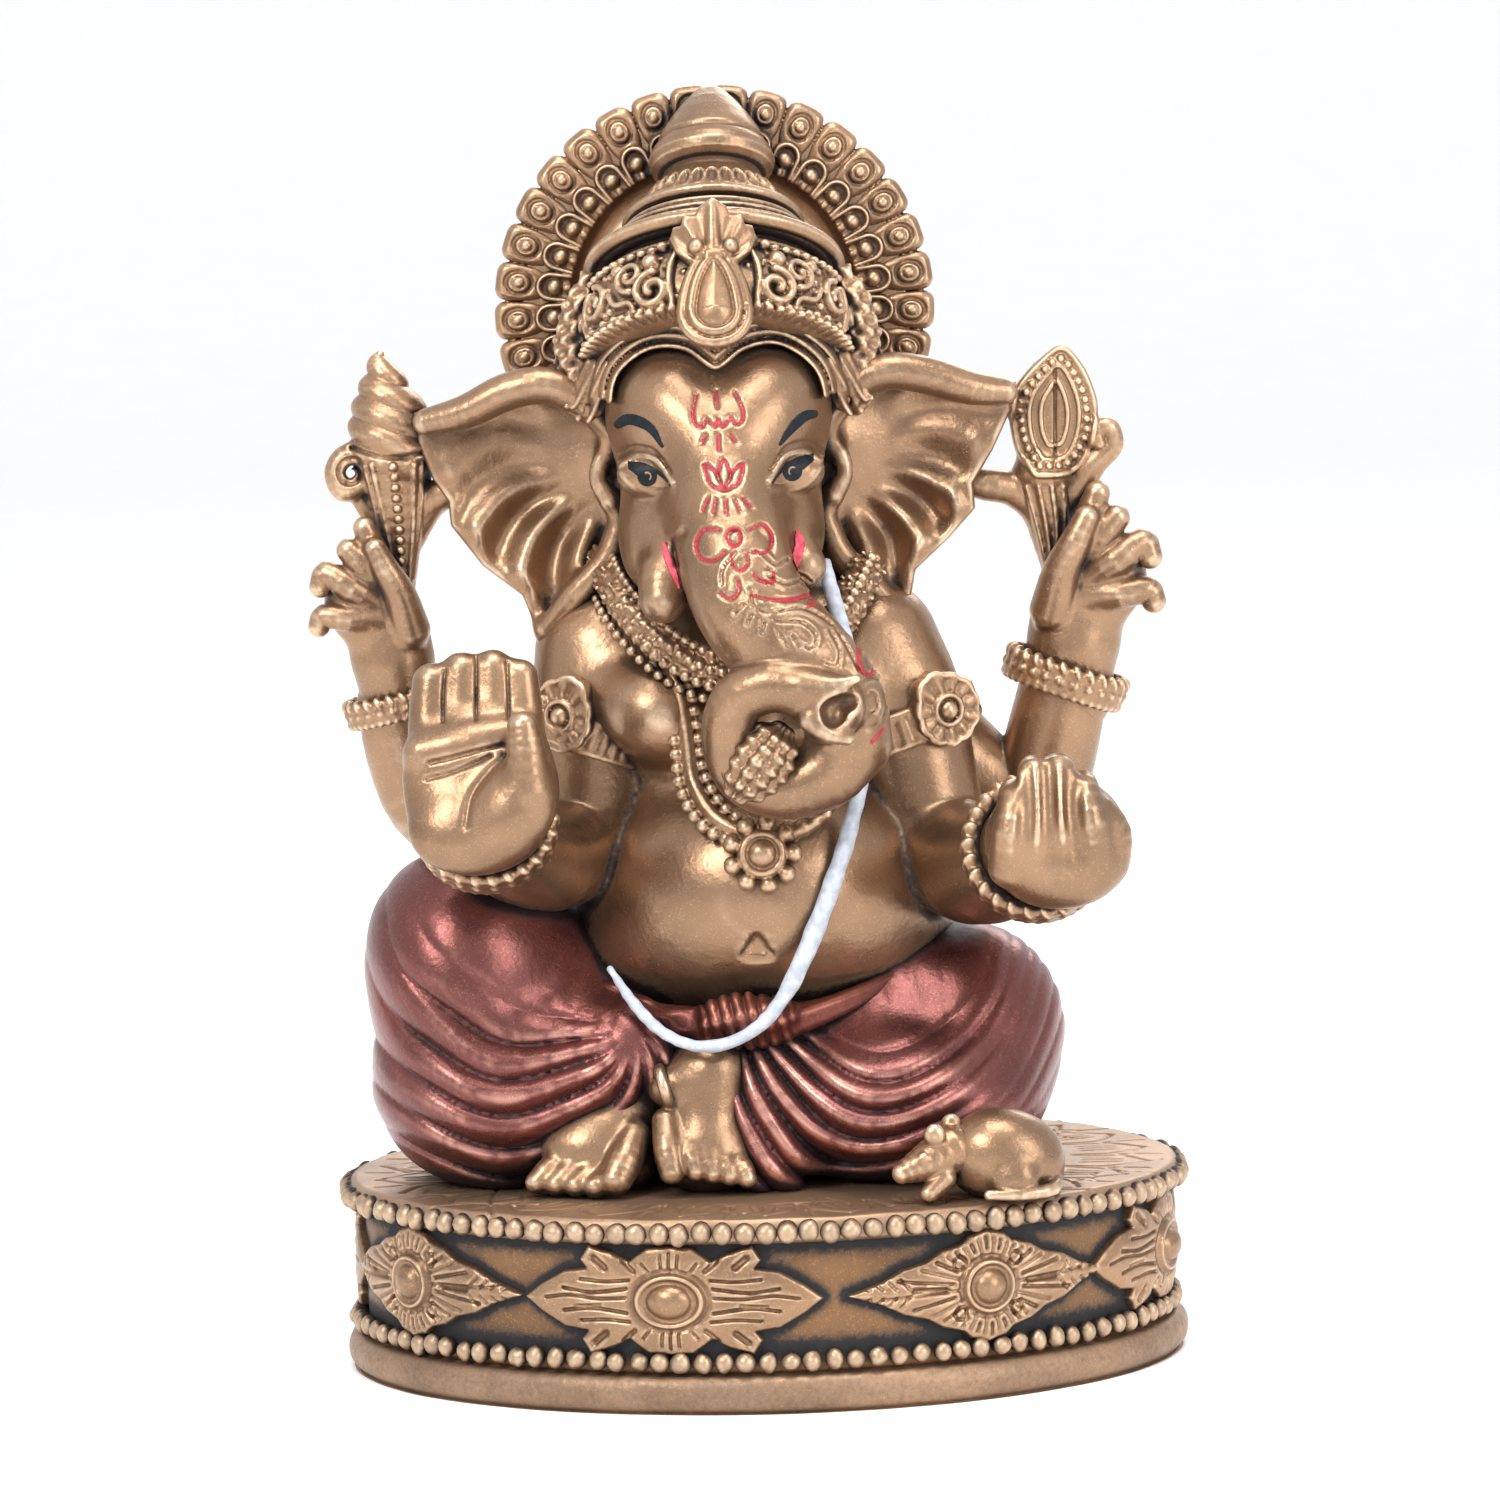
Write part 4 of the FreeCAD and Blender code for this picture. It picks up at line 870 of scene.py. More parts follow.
BLADE = [(34.0, 103.0), (32.0, 106.0), (31.3, 110.0), (32.0, 113.4), (34.4, 116.2), (37.8, 118.6),
         (40.4, 115.6), (41.8, 111.6),
         (41.4, 107.4), (39.6, 104.0), (37.6, 103.0)]


def blade_relief():
    r = Relief((27, 86), (47, 121))
    middle = np.array([36.6, 110.2])
    rim = np.vstack([BLADE, BLADE[:1]])
    for shrink, width, height in ((0.92, 0.8, 0.35), (0.56, 0.6, 0.35), (0.30, 0.6, 0.35)):
        loop = middle + (rim - middle) * (shrink, shrink ** 0.6)
        r.stroke(loop, width, height, 4)
    r.beads(middle + (rim - middle) * (0.74, 0.8), 1.15, 0.5, 0.5, 4)
    for x in (-2.2, -0.8, 0.8, 2.2):
        r.stroke([(36.4 + x * 0.3, 90.0), (36.0 + x * 0.8, 97.0), (35.3 + x, 101.8)], 0.7, 0.35)
    r.stroke([(36.6, 105.0), (36.8, 115.6)], 0.5, -0.4)
    return r


BLADE_RELIEF = blade_relief()


# ------------------------------------------------------------------ crown: made about its own leaning axis

CROWN_AT = np.array((-2.95, -0.6, 121.2), F)
CROWN_TURN = turn(0, -27.0)


def crown_space(p):
    q = (p - CROWN_AT) @ CROWN_TURN
    radius = np.sqrt(q[:, 0] ** 2 + q[:, 1] ** 2)
    around = np.arctan2(q[:, 0], -q[:, 1])
    return q, radius, around, q[:, 2]


def lathe(radius, height, profile, soft=0.6):
    """Inside is below the profile's radius, between its two ends."""
    pts = np.array(profile, float)
    edge = np.interp(height, pts[:, 1], pts[:, 0]).astype(F)
    slope = np.interp(height, (pts[1:, 1] + pts[:-1, 1]) / 2,
                      np.diff(pts[:, 0]) / np.maximum(np.diff(pts[:, 1]), 0.2))
    side = (radius - edge) / np.sqrt(1 + np.minimum(slope * slope, 4)).astype(F)
    ends = np.maximum(pts[0, 1] - height, height - pts[-1, 1])
    return smax(side, ends.astype(F), soft)


def diadem(p):
    _, radius, around, h = crown_space(p)
    profile = [(13.6, -4.6), (15.0, -3.8), (15.5, -0.6), (15.3, 2.0), (14.5, 4.6), (13.4, 5.8),
               (12.6, 6.8), (12.4, 8.6)]
    d = lathe(radius, h, profile)
    return d - DIADEM_RELIEF(around * 15.0, h)


def diadem_relief():
    half = 15.0 * math.pi
    r = Relief((-half, -9), (half, 11))
    r.beads([(-half, 4.6), (half, 4.6)], 1.45, 0.7, 0.9, 1)
    r.stroke([(-half, 6.0), (half, 6.0)], 0.8, 0.4, 1)
    r.beads([(-half, -3.5), (half, -3.5)], 1.35, 0.65, 0.85, 1)
    r.stroke([(-half, -2.5), (half, -2.5)], 0.5, 0.3, 1)
    for side in (-1, 1):
        turnto = -side * 1.3
        r.curl((side * 6.9, -0.9), 2.3, 90, turnto, 1.25, 1.3)
        r.curl((side * 9.9, 1.7), 2.0, 270, -turnto, 1.05, 1.1)
        r.stroke([(side * 4.7, -3.4), (side * 5.0, 0.4), (side * 4.4, 3.2), (side * 3.0, 5.4)], 0.95, 1.0)
        r.stroke([(side * 9.4, -3.0), (side * 10.2, -1.6), (side * 12.2, -1.2), (side * 13.2, 0.4)], 0.9,
                 0.9)
        r.dot((side * 4.4, 5.6), 1.15, 1.5)
        r.dot((side * 7.4, 3.0), 1.15, 1.4)
        r.dot((side * 6.0, 4.9), 0.9, 1.2)
        r.dot((side * 12.4, 3.4), 0.9, 1.0)
        for k in range(6):
            r.dot((side * (5.9 + 1.35 * k), -3.1 + 0.25 * (k % 2)), 0.6, 0.9)
            r.dot((side * (5.4 + 1.2 * k), 1.9 + 0.5 * (k % 2)), 0.42, 0.7)
    for k in range(11):
        at = 16.2 + k * 5.9
        for side in (-1, 1):
            r.curl((side * at, 0.4), 2.3, 90 + 180 * (k % 2), side * 1.3, 1.05, 1.0)
            r.stroke([(side * (at + 2.6), -2.4), (side * (at + 3.2), 0.0), (side * (at + 2.4), 2.8)], 0.9,
                     0.8)
            for da, dz in ((-2.8, 3.0), (-2.9, -1.6), (1.0, 3.3), (1.2, -2.4), (-1.4, -2.5)):
                r.dot((side * (at + da), dz), 0.55, 0.8)
    for k in range(140):
        a = -half + (k * 0.6180339 % 1) * 2 * half
        r.dot((a, -2.4 + 6.2 * (k * 0.7548777 % 1)), 0.38, 0.45)
    return r


DIADEM_RELIEF = diadem_relief()


def teardrop(x, z, width, low, high):
    """Signed distance, about, to a drop with its round end down."""
    round_end = low + width
    t = np.clip((z - round_end) / (high - round_end), 0, 1)
    limit = width * (1 - t) ** 0.75 * (1 + 0.55 * t)
    side = (np.abs(x) - limit) * 0.85
    bottom = np.hypot(x, z - round_end) - width
    return np.where(z < round_end, bottom, np.maximum(side, (z - high) * 0.8))


LEAF = [(-1.0, -3.0), (1.6, -3.0), (2.8, -1.6), (4.4, 0.2), (5.0, 2.0), (4.6, 3.2), (3.7, 3.1), (3.3, 4.2),
        (2.1, 4.2), (1.6, 5.2), (0.0, 6.0),
        (-1.0, 5.2)]


def crest(p):
    """The front jewel: a teardrop stone in two rims, under a spread leaf."""
    q, _, _, h = crown_space(p)
    x, front = q[:, 0], -q[:, 1]
    at = front - 15.3 - 0.10 * (h + 4) + 0.035 * x * x
    inner = teardrop(x, h, 2.2, -6.6, 1.6)
    outer = teardrop(x, h, 3.9, -8.2, 3.6)
    stone = smax(inner, at - 0.9 - 1.1 * np.sqrt(np.clip(-inner / 2.0, 0, 1)), 0.5)
    rim_a = np.hypot(inner - 0.5, at - 0.9) - 0.5
    rim_b = np.hypot(outer, at - 0.5) - 0.55
    back = np.maximum(outer, np.abs(at + 0.6) - 1.2)
    grains_d = 0.25 * np.maximum(np.sin(x * 5.2) * np.sin(h * 5.2), 0)
    d = union(0.25, stone, rim_a, rim_b, back - grains_d)
    z = h - 3.0
    away = front - 15.8 - 0.16 * z + 0.05 * x * x
    edge = flat_polygon(np.abs(x), z, LEAF)
    angle = np.arctan2(x, z + 3.0)
    ribs = 0.55 * np.abs(np.sin(angle * 6.5)) ** 1.5 - 0.3
    leaf = smax(edge, np.abs(away) - 1.1 + ribs, 0.5)
    spine = tube(np.stack([x, away, z], 1), [(0, 0.2, -2.6, 1.0), (0, 0.7, 1.0, 0.9), (0, 0.9, 4.6, 0.5)],
                 2)
    buds = blob(np.stack([np.abs(x) - 2.0, at, h - 3.2], 1), (0, 0.9, 0), (0.9, 1.1, 0.9))
    return union(0.3, d, leaf, spine, buds)


def lower_tier(p):
    _, radius, _, h = crown_space(p)
    profile = [(10.6, 6.9), (14.0, 7.3), (15.1, 7.7), (15.4, 8.2), (15.2, 8.8), (13.4, 9.5), (12.2, 10.6),
               (10.8, 12.2), (9.2, 13.6), (8.6, 14.2)]
    ridges = 0.28 * np.sin(h * 4.6) * ramp(h, 9.0, 9.8)
    under = 0.18 * np.sin(radius * 4.4) * ramp(radius, 11, 12) * ramp(8.0 - h, 0, 0.4)
    return lathe(radius, h, profile, 0.3) - ridges - under


def upper_tier(p):
    _, radius, around, h = crown_space(p)
    profile = [(7.4, 12.6), (9.6, 13.0), (10.5, 13.4), (10.8, 13.9), (10.5, 14.5), (8.8, 15.1),
               (8.2, 16.0), (7.4, 17.6), (6.2, 19.2), (5.6, 20.6)]
    cell = (around / (2 * math.pi / 30) + 0.5) % 1 - 0.5
    leaf = np.hypot(cell / 0.42, (h - 16.7) / 1.25)
    dents = 0.5 * np.clip(1.1 - leaf, 0, 1) - 0.25 * np.exp(-((leaf - 1.0) / 0.25) ** 2)
    return lathe(radius, h, profile, 0.3) + dents


def finial(p):
    _, radius, _, h = crown_space(p)
    profile = [(5.4, 20.0), (6.4, 20.4), (7.2, 21.0), (7.5, 22.0), (7.2, 23.0), (6.8, 23.7), (6.6, 24.2),
               (5.8, 25.8), (4.7, 27.6), (3.4, 29.4),
               (1.9, 31.1), (0.4, 32.2)]
    groove = 0.35 * np.exp(-((h - 24.2) / 0.35) ** 2)
    return lathe(radius, h, profile, 0.5) + groove


def hair_band(p):
    """Four or five combed ridges that follow the hairline and dip to a point over the brow."""
    x, z = p[:, 0], p[:, 2]
    line = spline(HAIRLINE, 6)
    outside = flat_polygon(x, z, [(-13.6, 100.0)] + [tuple(v) for v in line] + [(8.4, 100.0)])
    base = blob(p, (MID_X - 0.1, -1.7, 115.4), (14.4, 14.6, 12.2))
    ridge = 0.55 * np.abs(np.sin((outside + 0.05) / 1.12 * math.pi)) ** 0.6
    rise = ramp(outside, 0.0, 3.4)
    shell = (skull(p) - 0.7) * (1 - rise) + (base - 0.3) * rise - ridge
    d = smax(shell, 0.15 - outside, 0.6)
    d = smax(d, outside - 7.0, 0.5)
    d = smax(d, 115.0 + 0.15 * p[:, 1] - z, 1.2)
    return np.maximum(d, p[:, 1] - 3.0)


def side_ornament(p, side):
    """Pierced scrollwork in front of the ear, with a curled lock under it."""
    q = (p - np.array((MID_X, 0, 0), F)) * np.array((side, 1, 1), F)
    bar = tube(q, [(16.0, -2.4, 113.0, 1.6), (16.8, -2.2, 116.4, 1.9), (17.0, -1.6, 120.4, 2.0),
                   (16.2, -1.0, 124.6, 1.7), (15.0, -0.6, 127.6, 1.2)], 3)
    angle = np.sin(q[:, 2] * 2.3) * np.cos(q[:, 0] * 2.4 + q[:, 1] * 1.6)
    bar = bar - 0.35 * angle
    lock = tube(q, [(14.0, -4.0, 117.6, 1.7), (15.2, -3.8, 115.4, 1.5), (16.4, -3.8, 113.8, 0.9),
                    (17.6, -4.0, 113.2, 0.4)], 3)
    tail = tube(q, [(12.4, -6.6, 117.6, 1.5), (13.6, -5.8, 115.4, 1.3), (14.2, -4.8, 113.0, 0.9),
                    (15.2, -4.6, 111.6, 0.4)], 3)
    strands = 0.10 * np.sin(q[:, 0] * 5.0 + q[:, 2] * 2.6)
    return union(0.7, bar, lock - strands, tail - strands)


# ------------------------------------------------------------------ halo

HALO = np.array((-3.1, 14.6, 123.7), F)
PETAL_PITCH = math.radians(10.9)


def halo_space(p):
    x, z = p[:, 0] - HALO[0], p[:, 2] - HALO[2]
    reach, angle = np.hypot(x, z), np.arctan2(z, x)
    from_top = angle - math.pi / 2
    from_top = (from_top + math.pi) % (2 * math.pi) - math.pi
    index = np.clip(np.round(from_top / PETAL_PITCH - 0.5), -12, 11) + 0.5
    local = (from_top - index * PETAL_PITCH) * reach
    return reach, from_top, local, p[:, 1] - HALO[1]


def halo_outer(p):
    reach, turnto, local, y = halo_space(p)
    a = np.abs(local)
    wedge = a - 0.0951 * reach + 0.04
    corner = np.hypot(np.maximum(a - 1.0, 0), np.maximum(reach - 24.9, 0)) - 1.35
    outline = smax(smax(wedge, 19.6 - reach, 0.3), np.where(reach > 24.9, corner, a - 2.6), 0.4)
    ring_d = np.hypot(local, (reach - 23.5) * 0.86)
    groove = 0.42 * np.exp(-((ring_d - 1.3) / 0.26) ** 2)
    boss = 0.55 * np.sqrt(np.clip(1 - (ring_d / 0.62) ** 2, 0, 1))
    swell = 0.35 * np.exp(-((ring_d - 0.95) / 0.3) ** 2)
    cushion = 0.35 * ramp(-outline, 0, 0.8)
    front = 0.35 + 0.45 * np.cos((reach - 23.4) * 0.55)
    d = smax(outline, np.maximum(-y - front + groove - boss - swell - cushion + 0.25, y - 2.2), 0.4)
    web = np.maximum(np.maximum(reach - 25.0, 19.0 - reach), np.abs(y - 1.4) - 0.9)
    return np.maximum(smin(d, web, 0.2), np.abs(turnto) * reach - PETAL_PITCH * 11.5 * reach)


def halo_inner(p):
    reach, turnto, local, y = halo_space(p)
    arch_d = np.hypot(local, np.maximum(reach - 19.7, 0))
    outline = smax(arch_d - 1.85, 17.2 - reach, 0.4)
    rim = 0.75 * np.exp(-((arch_d - 1.45) / 0.36) ** 2)
    boss = 1.15 * np.sqrt(np.clip(1 - (np.hypot(local, reach - 19.2) / 1.0) ** 2, 0, 1))
    stem = 0.5 * np.exp(-(local / 0.5) ** 2) * ramp(18.4 - reach, 0, 0.5)
    d = smax(outline, np.maximum(-y - 1.1 - rim - boss - stem + 0.35, y - 0.6), 0.35)
    return np.maximum(d, np.abs(turnto) * reach - PETAL_PITCH * 11.5 * reach)


def halo_disc(p):
    reach, turnto, _, y = halo_space(p)
    curve = 0.7 * np.cos((reach - 15.6) * 0.75) * ramp(reach, 18.4, 17.2)
    dish = -0.3 + curve - 0.5 * np.exp(-((reach - 17.4) / 0.5) ** 2)
    spokes = 0.25 * np.abs(np.sin(turnto * 16)) * ramp(reach, 18.0, 20.0)
    return smax(reach - 23.0, np.maximum(-y + dish, y - 2.6 + spokes), 0.5)


# ------------------------------------------------------------------ jewellery

def grains(p, pitch, size):
    """Close-packed granulation, used to roughen cast beadwork."""
    a = np.sin(p[:, 0] * pitch) * np.sin(p[:, 1] * pitch) * np.sin(p[:, 2] * pitch + 0.7)
    b = np.sin((p[:, 0] + p[:, 2]) * pitch * 0.8 + 2.1) * np.sin((p[:, 1] - p[:, 2]) * pitch * 0.8)
    return size * (np.maximum(a, 0) + 0.6 * np.maximum(b, 0))


COLLAR = [(-17.6, 0.0, 92.6), (-16.4, -5.6, 90.2), (-13.6, -10.0, 86.6), (-9.6, -12.6, 83.0),
          (-4.6, -14.2, 80.6), (1.4, -14.4, 80.2),
          (7.0, -12.4, 82.8), (10.6, -9.6, 87.0), (13.0, -5.0, 91.0)]


def collar(p):
    """A broad granulated choker edged with drop-shaped beads."""
    pts = np.array(COLLAR)
    band = tube(p, [tuple(v) + (1.9,) for v in pts + (0.8, 1.2, 2.0)], 3) - grains(p, 3.6, 0.55)
    rows = [bead_string(p, pts + offset, pitch, radius) for offset, pitch, radius in (
        ((0.1, -0.2, 0.4), 1.5, 0.78), ((0.9, -0.7, 2.1), 1.35, 0.66),
        ((-0.7, 0.3, -1.1), 1.5, 0.6), ((1.5, -0.4, 3.7), 1.2, 0.6))]
    return union(0.2, band, *rows)


NECKLACE = [(-10.2, -9.4, 85.6), (-8.4, -12.0, 80.2), (-7.6, -13.4, 74.8), (-7.0, -14.6, 70.0),
            (-4.8, -17.2, 66.2), (-1.0, -19.0, 64.2),
            (3.0, -19.4, 64.0), (7.0, -18.4, 65.4), (9.8, -16.2, 68.6)]


def bead_string(p, route, pitch, radius):
    best = np.full(len(p), 1e3, F)
    for at in along(spline(route, 6), pitch):
        np.minimum(best, np.sqrt(((p - at.astype(F)) ** 2).sum(1)) - radius, out=best)
    return best


def necklace(p):
    pts = np.array(NECKLACE)
    outer = bead_string(p, pts + (-1.3, 0.0, -0.9), 1.55, 0.85)
    inner = bead_string(p, pts + (1.3, 0.1, 0.9), 1.55, 0.72)
    band = tube(p, [tuple(v) + (0.95,) for v in pts], 3)
    cord = tube(p, [(x + 0.1, y - 0.55, z) + (0.42,) for x, y, z in pts], 3)
    return union(0.25, outer, inner, band, cord)


def pendant(p):
    q = (p - np.array((0.8, -20.1, 61.9), F)) @ turn(0, -12)
    reach, angle = np.hypot(q[:, 0], q[:, 2]), np.arctan2(q[:, 2], q[:, 0])
    d = smax(reach - 2.9, np.abs(q[:, 1]) - 0.9, 0.4)
    d = smin(d, blob(q, (0, -0.9, 0), (1.6, 1.1, 1.6)), 0.2)
    d = smin(d, np.hypot(reach - 2.3, q[:, 1] + 0.8) - 0.4, 0.2)
    sector = (angle / (2 * math.pi / 9) + 0.5) % 1 - 0.5
    petal = np.sqrt((reach - 3.6) ** 2 + (sector * 2 * math.pi / 9 * 3.6) ** 2 + (q[:, 1] * 0.9) ** 2) - 1.1
    return smin(d, petal.astype(F), 0.2)


THREAD = [(9.2, -8.4, 94.4, 0.6), (9.6, -10.6, 91.4, 0.9), (10.8, -12.0, 87.0, 0.95),
          (12.4, -12.6, 80.0, 0.9), (12.8, -14.2, 72.0, 0.85),
          (11.4, -17.2, 65.6, 0.95), (8.9, -19.4, 58.4, 1.05), (5.6, -20.6, 50.6, 1.1),
          (2.4, -21.2, 44.8, 0.9), (-1.6, -22.0, 41.2, 0.75),
          (-6.6, -21.6, 39.9, 0.7), (-11.0, -20.4, 41.4, 0.7), (-14.4, -18.6, 44.6, 0.7),
          (-17.2, -16.8, 48.6, 0.35)]


def thread(p):
    strands = 0.05 * np.sin(p[:, 2] * 0.9 + p[:, 0] * 0.7) + 0.03 * np.sin(p[:, 2] * 3.1 - p[:, 0] * 2.3)
    return tube(p, THREAD, 5) - strands


def bracelet(p, form):
    """A flat band between two ropes, with a row of beads along its middle."""
    centre, radius, thick, local, beads = form
    q = (p - np.array(centre, F)) @ local
    a = np.sqrt(q[:, 0] ** 2 + q[:, 1] ** 2) - radius
    angle = np.arctan2(q[:, 1], q[:, 0])
    band = smax(np.abs(a) - thick * 0.75, np.abs(q[:, 2]) - thick * 1.5, 0.5)
    rope = 0.28 * np.sin(angle * beads + q[:, 2] * 1.4)
    upper = np.hypot(a - 0.2, q[:, 2] - thick * 1.15) - thick * 0.62 - rope
    lower = np.hypot(a - 0.2, q[:, 2] + thick * 1.15) - thick * 0.5 - 0.12 * np.sin(angle * beads * 1.5)
    sector = (angle / (2 * math.pi / beads) + 0.5) % 1 - 0.5
    across = sector * 2 * math.pi / beads * radius
    bead = np.sqrt((a - thick * 0.5) ** 2 + across ** 2 + q[:, 2] ** 2) - thick * 0.52
    return union(0.25, band.astype(F), upper.astype(F), lower.astype(F), bead.astype(F))


BRACELETS = {
    "right_front_bracelet": ((-30.9, -20.4, 66.4), 7.4, 1.15, turn(0, 60), 26),
    "left_front_bracelet": ((32.4, -20.8, 61.8), 7.6, 1.25, turn(0, 68), 26),
    "right_rear_bracelet": ((-42.3, 6.0, 77.6), 5.2, 0.95, turn(1, -12), 24),
    "left_rear_bracelet": ((37.3, 6.0, 78.8), 6.6, 1.15, turn(1, 20), 26),
}


def armlet(p, centre, radius, local, rosette, face):
    q = (p - np.array(centre, F)) @ local
    a = np.sqrt(q[:, 0] ** 2 + q[:, 1] ** 2) - radius
    angle = np.arctan2(q[:, 1], q[:, 0])
    ribs = 0.22 * np.abs(np.sin(angle * 17))
    band = smax(np.abs(a) - 0.9 - ribs, np.abs(q[:, 2]) - 1.7, 0.4)
    rims = np.minimum(np.hypot(a - 0.6, q[:, 2] - 1.8), np.hypot(a - 0.6, q[:, 2] + 1.8)) - 0.5
    s = (p - np.array(rosette, F)) @ face
    reach, spin = np.hypot(s[:, 0], s[:, 2]), np.arctan2(s[:, 0], s[:, 2])
    outline = reach - 4.1 * (1 + 0.22 * np.exp(-(spin / 0.5) ** 2)) - 0.22 * np.abs(np.sin(spin * 5.5))
    petals = 0.4 * np.abs(np.sin(spin * 5.5)) * ramp(reach, 1.8, 2.6) - 0.2
    plate_d = smax(outline, np.abs(s[:, 1]) - 0.9 - petals, 0.4)
    rim = np.hypot(outline + 0.3, s[:, 1] + 0.8) - 0.35
    boss = blob(s, (0, -0.9, 0), (1.1, 0.9, 1.1))
    hoop = np.hypot(reach - 1.75, s[:, 1] + 0.9) - 0.32
    return union(0.2, band.astype(F), rims.astype(F), plate_d.astype(F), rim.astype(F), boss,
                 hoop.astype(F))


def right_armlet(p):
    return armlet(p, (-18.6, -0.4, 74.6), 7.1, turn(1, 20), (-22.0, -6.6, 77.2), turn(2, -30) @ turn(1, 30))


def left_armlet(p):
    return armlet(p, (17.8, 0.2, 74.6), 8.3, turn(1, -19), (22.6, -7.2, 76.8), turn(2, 30) @ turn(1, -40))


# ------------------------------------------------------------------ mouse

def mouse_body(p):
    back, rump = blob(p, (27.0, -27.0, 27.4),
                      (6.4, 5.0, 5.4)), blob(p, (30.2, -26.0, 26.2), (4.4, 4.6, 4.4))
    d = union(2.0, back, rump)
    leg = blob(p, (28.6, -31.0, 25.0), (2.8, 1.8, 2.6))
    tail = tube(p, [(33.4, -27.0, 24.4, 0.9), (33.0, -30.6, 23.8, 0.8), (29.6, -32.4, 23.6, 0.7),
                    (25.6, -32.6, 23.6, 0.6)], 3)
    return smax(smin(smin(d, leg, 0.8), tail, 0.4), SLAB_TOP - p[:, 2], 0.3)


def mouse_head(p):
    d = tube(p, [(21.4, -28.6, 28.2, 3.0), (18.6, -30.2, 27.2, 2.2), (15.8, -31.4, 26.2, 1.2)], 3)
    for x, y, z in ((19.6, -31.2, 30.4), (21.6, -28.0, 31.0)):
        d = smin(d, blob(p, (x, y, z), (1.2, 0.8, 1.4)), 0.4)
    paw = tube(p, [(20.6, -30.6, 25.4, 1.4), (18.8, -31.8, 23.8, 1.1)], 2)
    eye = blob(p, (18.2, -32.0, 28.0), (0.5, 0.4, 0.5))
    return smax(union(0.5, d, paw, eye), SLAB_TOP - p[:, 2], 0.3)


# ------------------------------------------------------------------ paint: thin crisp shells on the face

class Mask(Relief):
    """Holds how far each place is inside a set of strokes; negative outside them."""

    def __init__(self, low, high, cell=0.05):
        super().__init__(low, high, cell)
        self.height[:] = -1

    def line(self, points, widths, steps=6):
        """A stroke whose width runs through the given widths."""
        pts = spline(points, steps)
        half = np.interp(np.linspace(0, 1, len(pts)), np.linspace(0, 1, len(widths)), widths) / 2
        for a, b, ha, hb in zip(pts, pts[1:], half, half[1:]):
            where, d = self.distance(np.array([a, b]), 1.2)
            self.height[where] = np.maximum(self.height[where], (ha + hb) / 2 - d)
        return self

    def area(self, points):
        found = self.window(np.array(points, float), 1.0)
        where, u, v = found
        uu, vv = np.broadcast_arrays(u, v)
        d = -flat_polygon(uu.ravel(), vv.ravel(), points).reshape(uu.shape)
        self.height[where] = np.maximum(self.height[where], d)
        return self


def painted(mask, coat, back):
    """A coat of paint lying on the face where the mask is positive, in front of the plane y = back."""
    def field(p):
        d = face_surface(p) - coat
        m = np.maximum(d, -mask(p[:, 0], p[:, 2]))
        return np.maximum(np.maximum(m, -d - coat - 0.45), p[:, 1] - back)
    return field


def tilak_mask():
    m = Mask((-20, 60), (20, 125))
    for mark in TILAK:
        m.line(mark, (0.38, 0.50, 0.38))
    t = np.linspace(0, 2 * math.pi, 24)
    m.line(np.stack([LOTUS_EYE[0] + 0.75 * np.cos(t), LOTUS_EYE[1] + 0.95 * np.sin(t)], 1), (0.5, 0.5), 1)
    return m


BROW_L = [(-14.6, 111.3), (-13.4, 112.0), (-12.0, 111.8), (-10.6, 110.9), (-9.5, 109.0)]
BROW_R = [(8.2, 112.0), (7.2, 111.9), (6.2, 111.2), (5.2, 110.2), (4.2, 108.9)]


def brow_mask():
    m = Mask((-20, 104), (14, 116))
    m.line(BROW_L, (0.9, 1.3, 1.3, 1.0, 0.3))
    return m.line(BROW_R, (0.9, 1.25, 1.2, 0.9, 0.3))


def lip_mask():
    m = Mask((-14, 88), (10, 102))
    m.line([(-9.6, 97.8), (-9.2, 96.4), (-8.6, 94.9), (-7.9, 92.9)], (0.4, 0.9, 0.9, 0.3))
    return m.line([(5.9, 98.6), (6.1, 97.4), (5.8, 96.0), (5.1, 94.0)], (0.5, 1.2, 1.2, 0.3))


EYES = {"right": ((-13.5, 106.9), (-11.4, 106.7), (-9.6, 105.6), (-8.6, 104.5), (-11.2, 104.2),
                  (-12.4, 105.2)),
        "left": ((8.0, 107.2), (5.9, 106.9), (4.2, 105.8), (3.1, 104.6), (5.4, 104.4), (6.8, 105.4))}
IRIS = {"right": (-11.3, 105.5), "left": (5.5, 105.7)}


def eye_mask():
    m = Mask((-20, 100), (14, 110))
    for corners in EYES.values():
        m.area(closed_spline(corners))
    return m


def iris_mask():
    """The dark ring and pupil, and the lash line out to the far corner."""
    m, keep = Mask((-20, 100), (14, 110)), Mask((-20, 100), (14, 110))
    for side, (x, z) in IRIS.items():
        t = np.linspace(0, 2 * math.pi, 20)
        m.line(np.stack([x + 0.84 * np.cos(t), z + 0.88 * np.sin(t)], 1), (0.62, 0.62), 1)
        m.line([(x, z), (x + 0.05, z + 0.02)], (0.66, 0.66), 1)
        corner = EYES[side]
        m.line([corner[0], corner[1], corner[2], corner[3]], (0.7, 0.5, 0.35, 0.2))
        m.line([corner[0], (0.5 * corner[0][0] + 0.5 * x, 0.5 * corner[0][1] + 0.5 * z), (x, z - 0.5)],
               (0.8, 1.1, 0.5))
        lid = [(a, b + 0.5) for a, b in corner[:4]]
        keep.area(lid + [(corner[3][0], 103.0), (corner[0][0], 103.0)])
    m.height = np.minimum(m.height, keep.height)
    return m


# ------------------------------------------------------------------ plinth

DEPTH_RATIO = 0.772          # the oval's depth over its width
MEDALLION_MID = 13.1
FIRST_MEDALLION = -13.3      # degrees round from the front
UPPER_BEADS = (49.35, 20.9, 1.22, 112)      # path radius, height, bead radius, count
LOWER_BEADS = (48.35, 6.0, 1.12, 108)


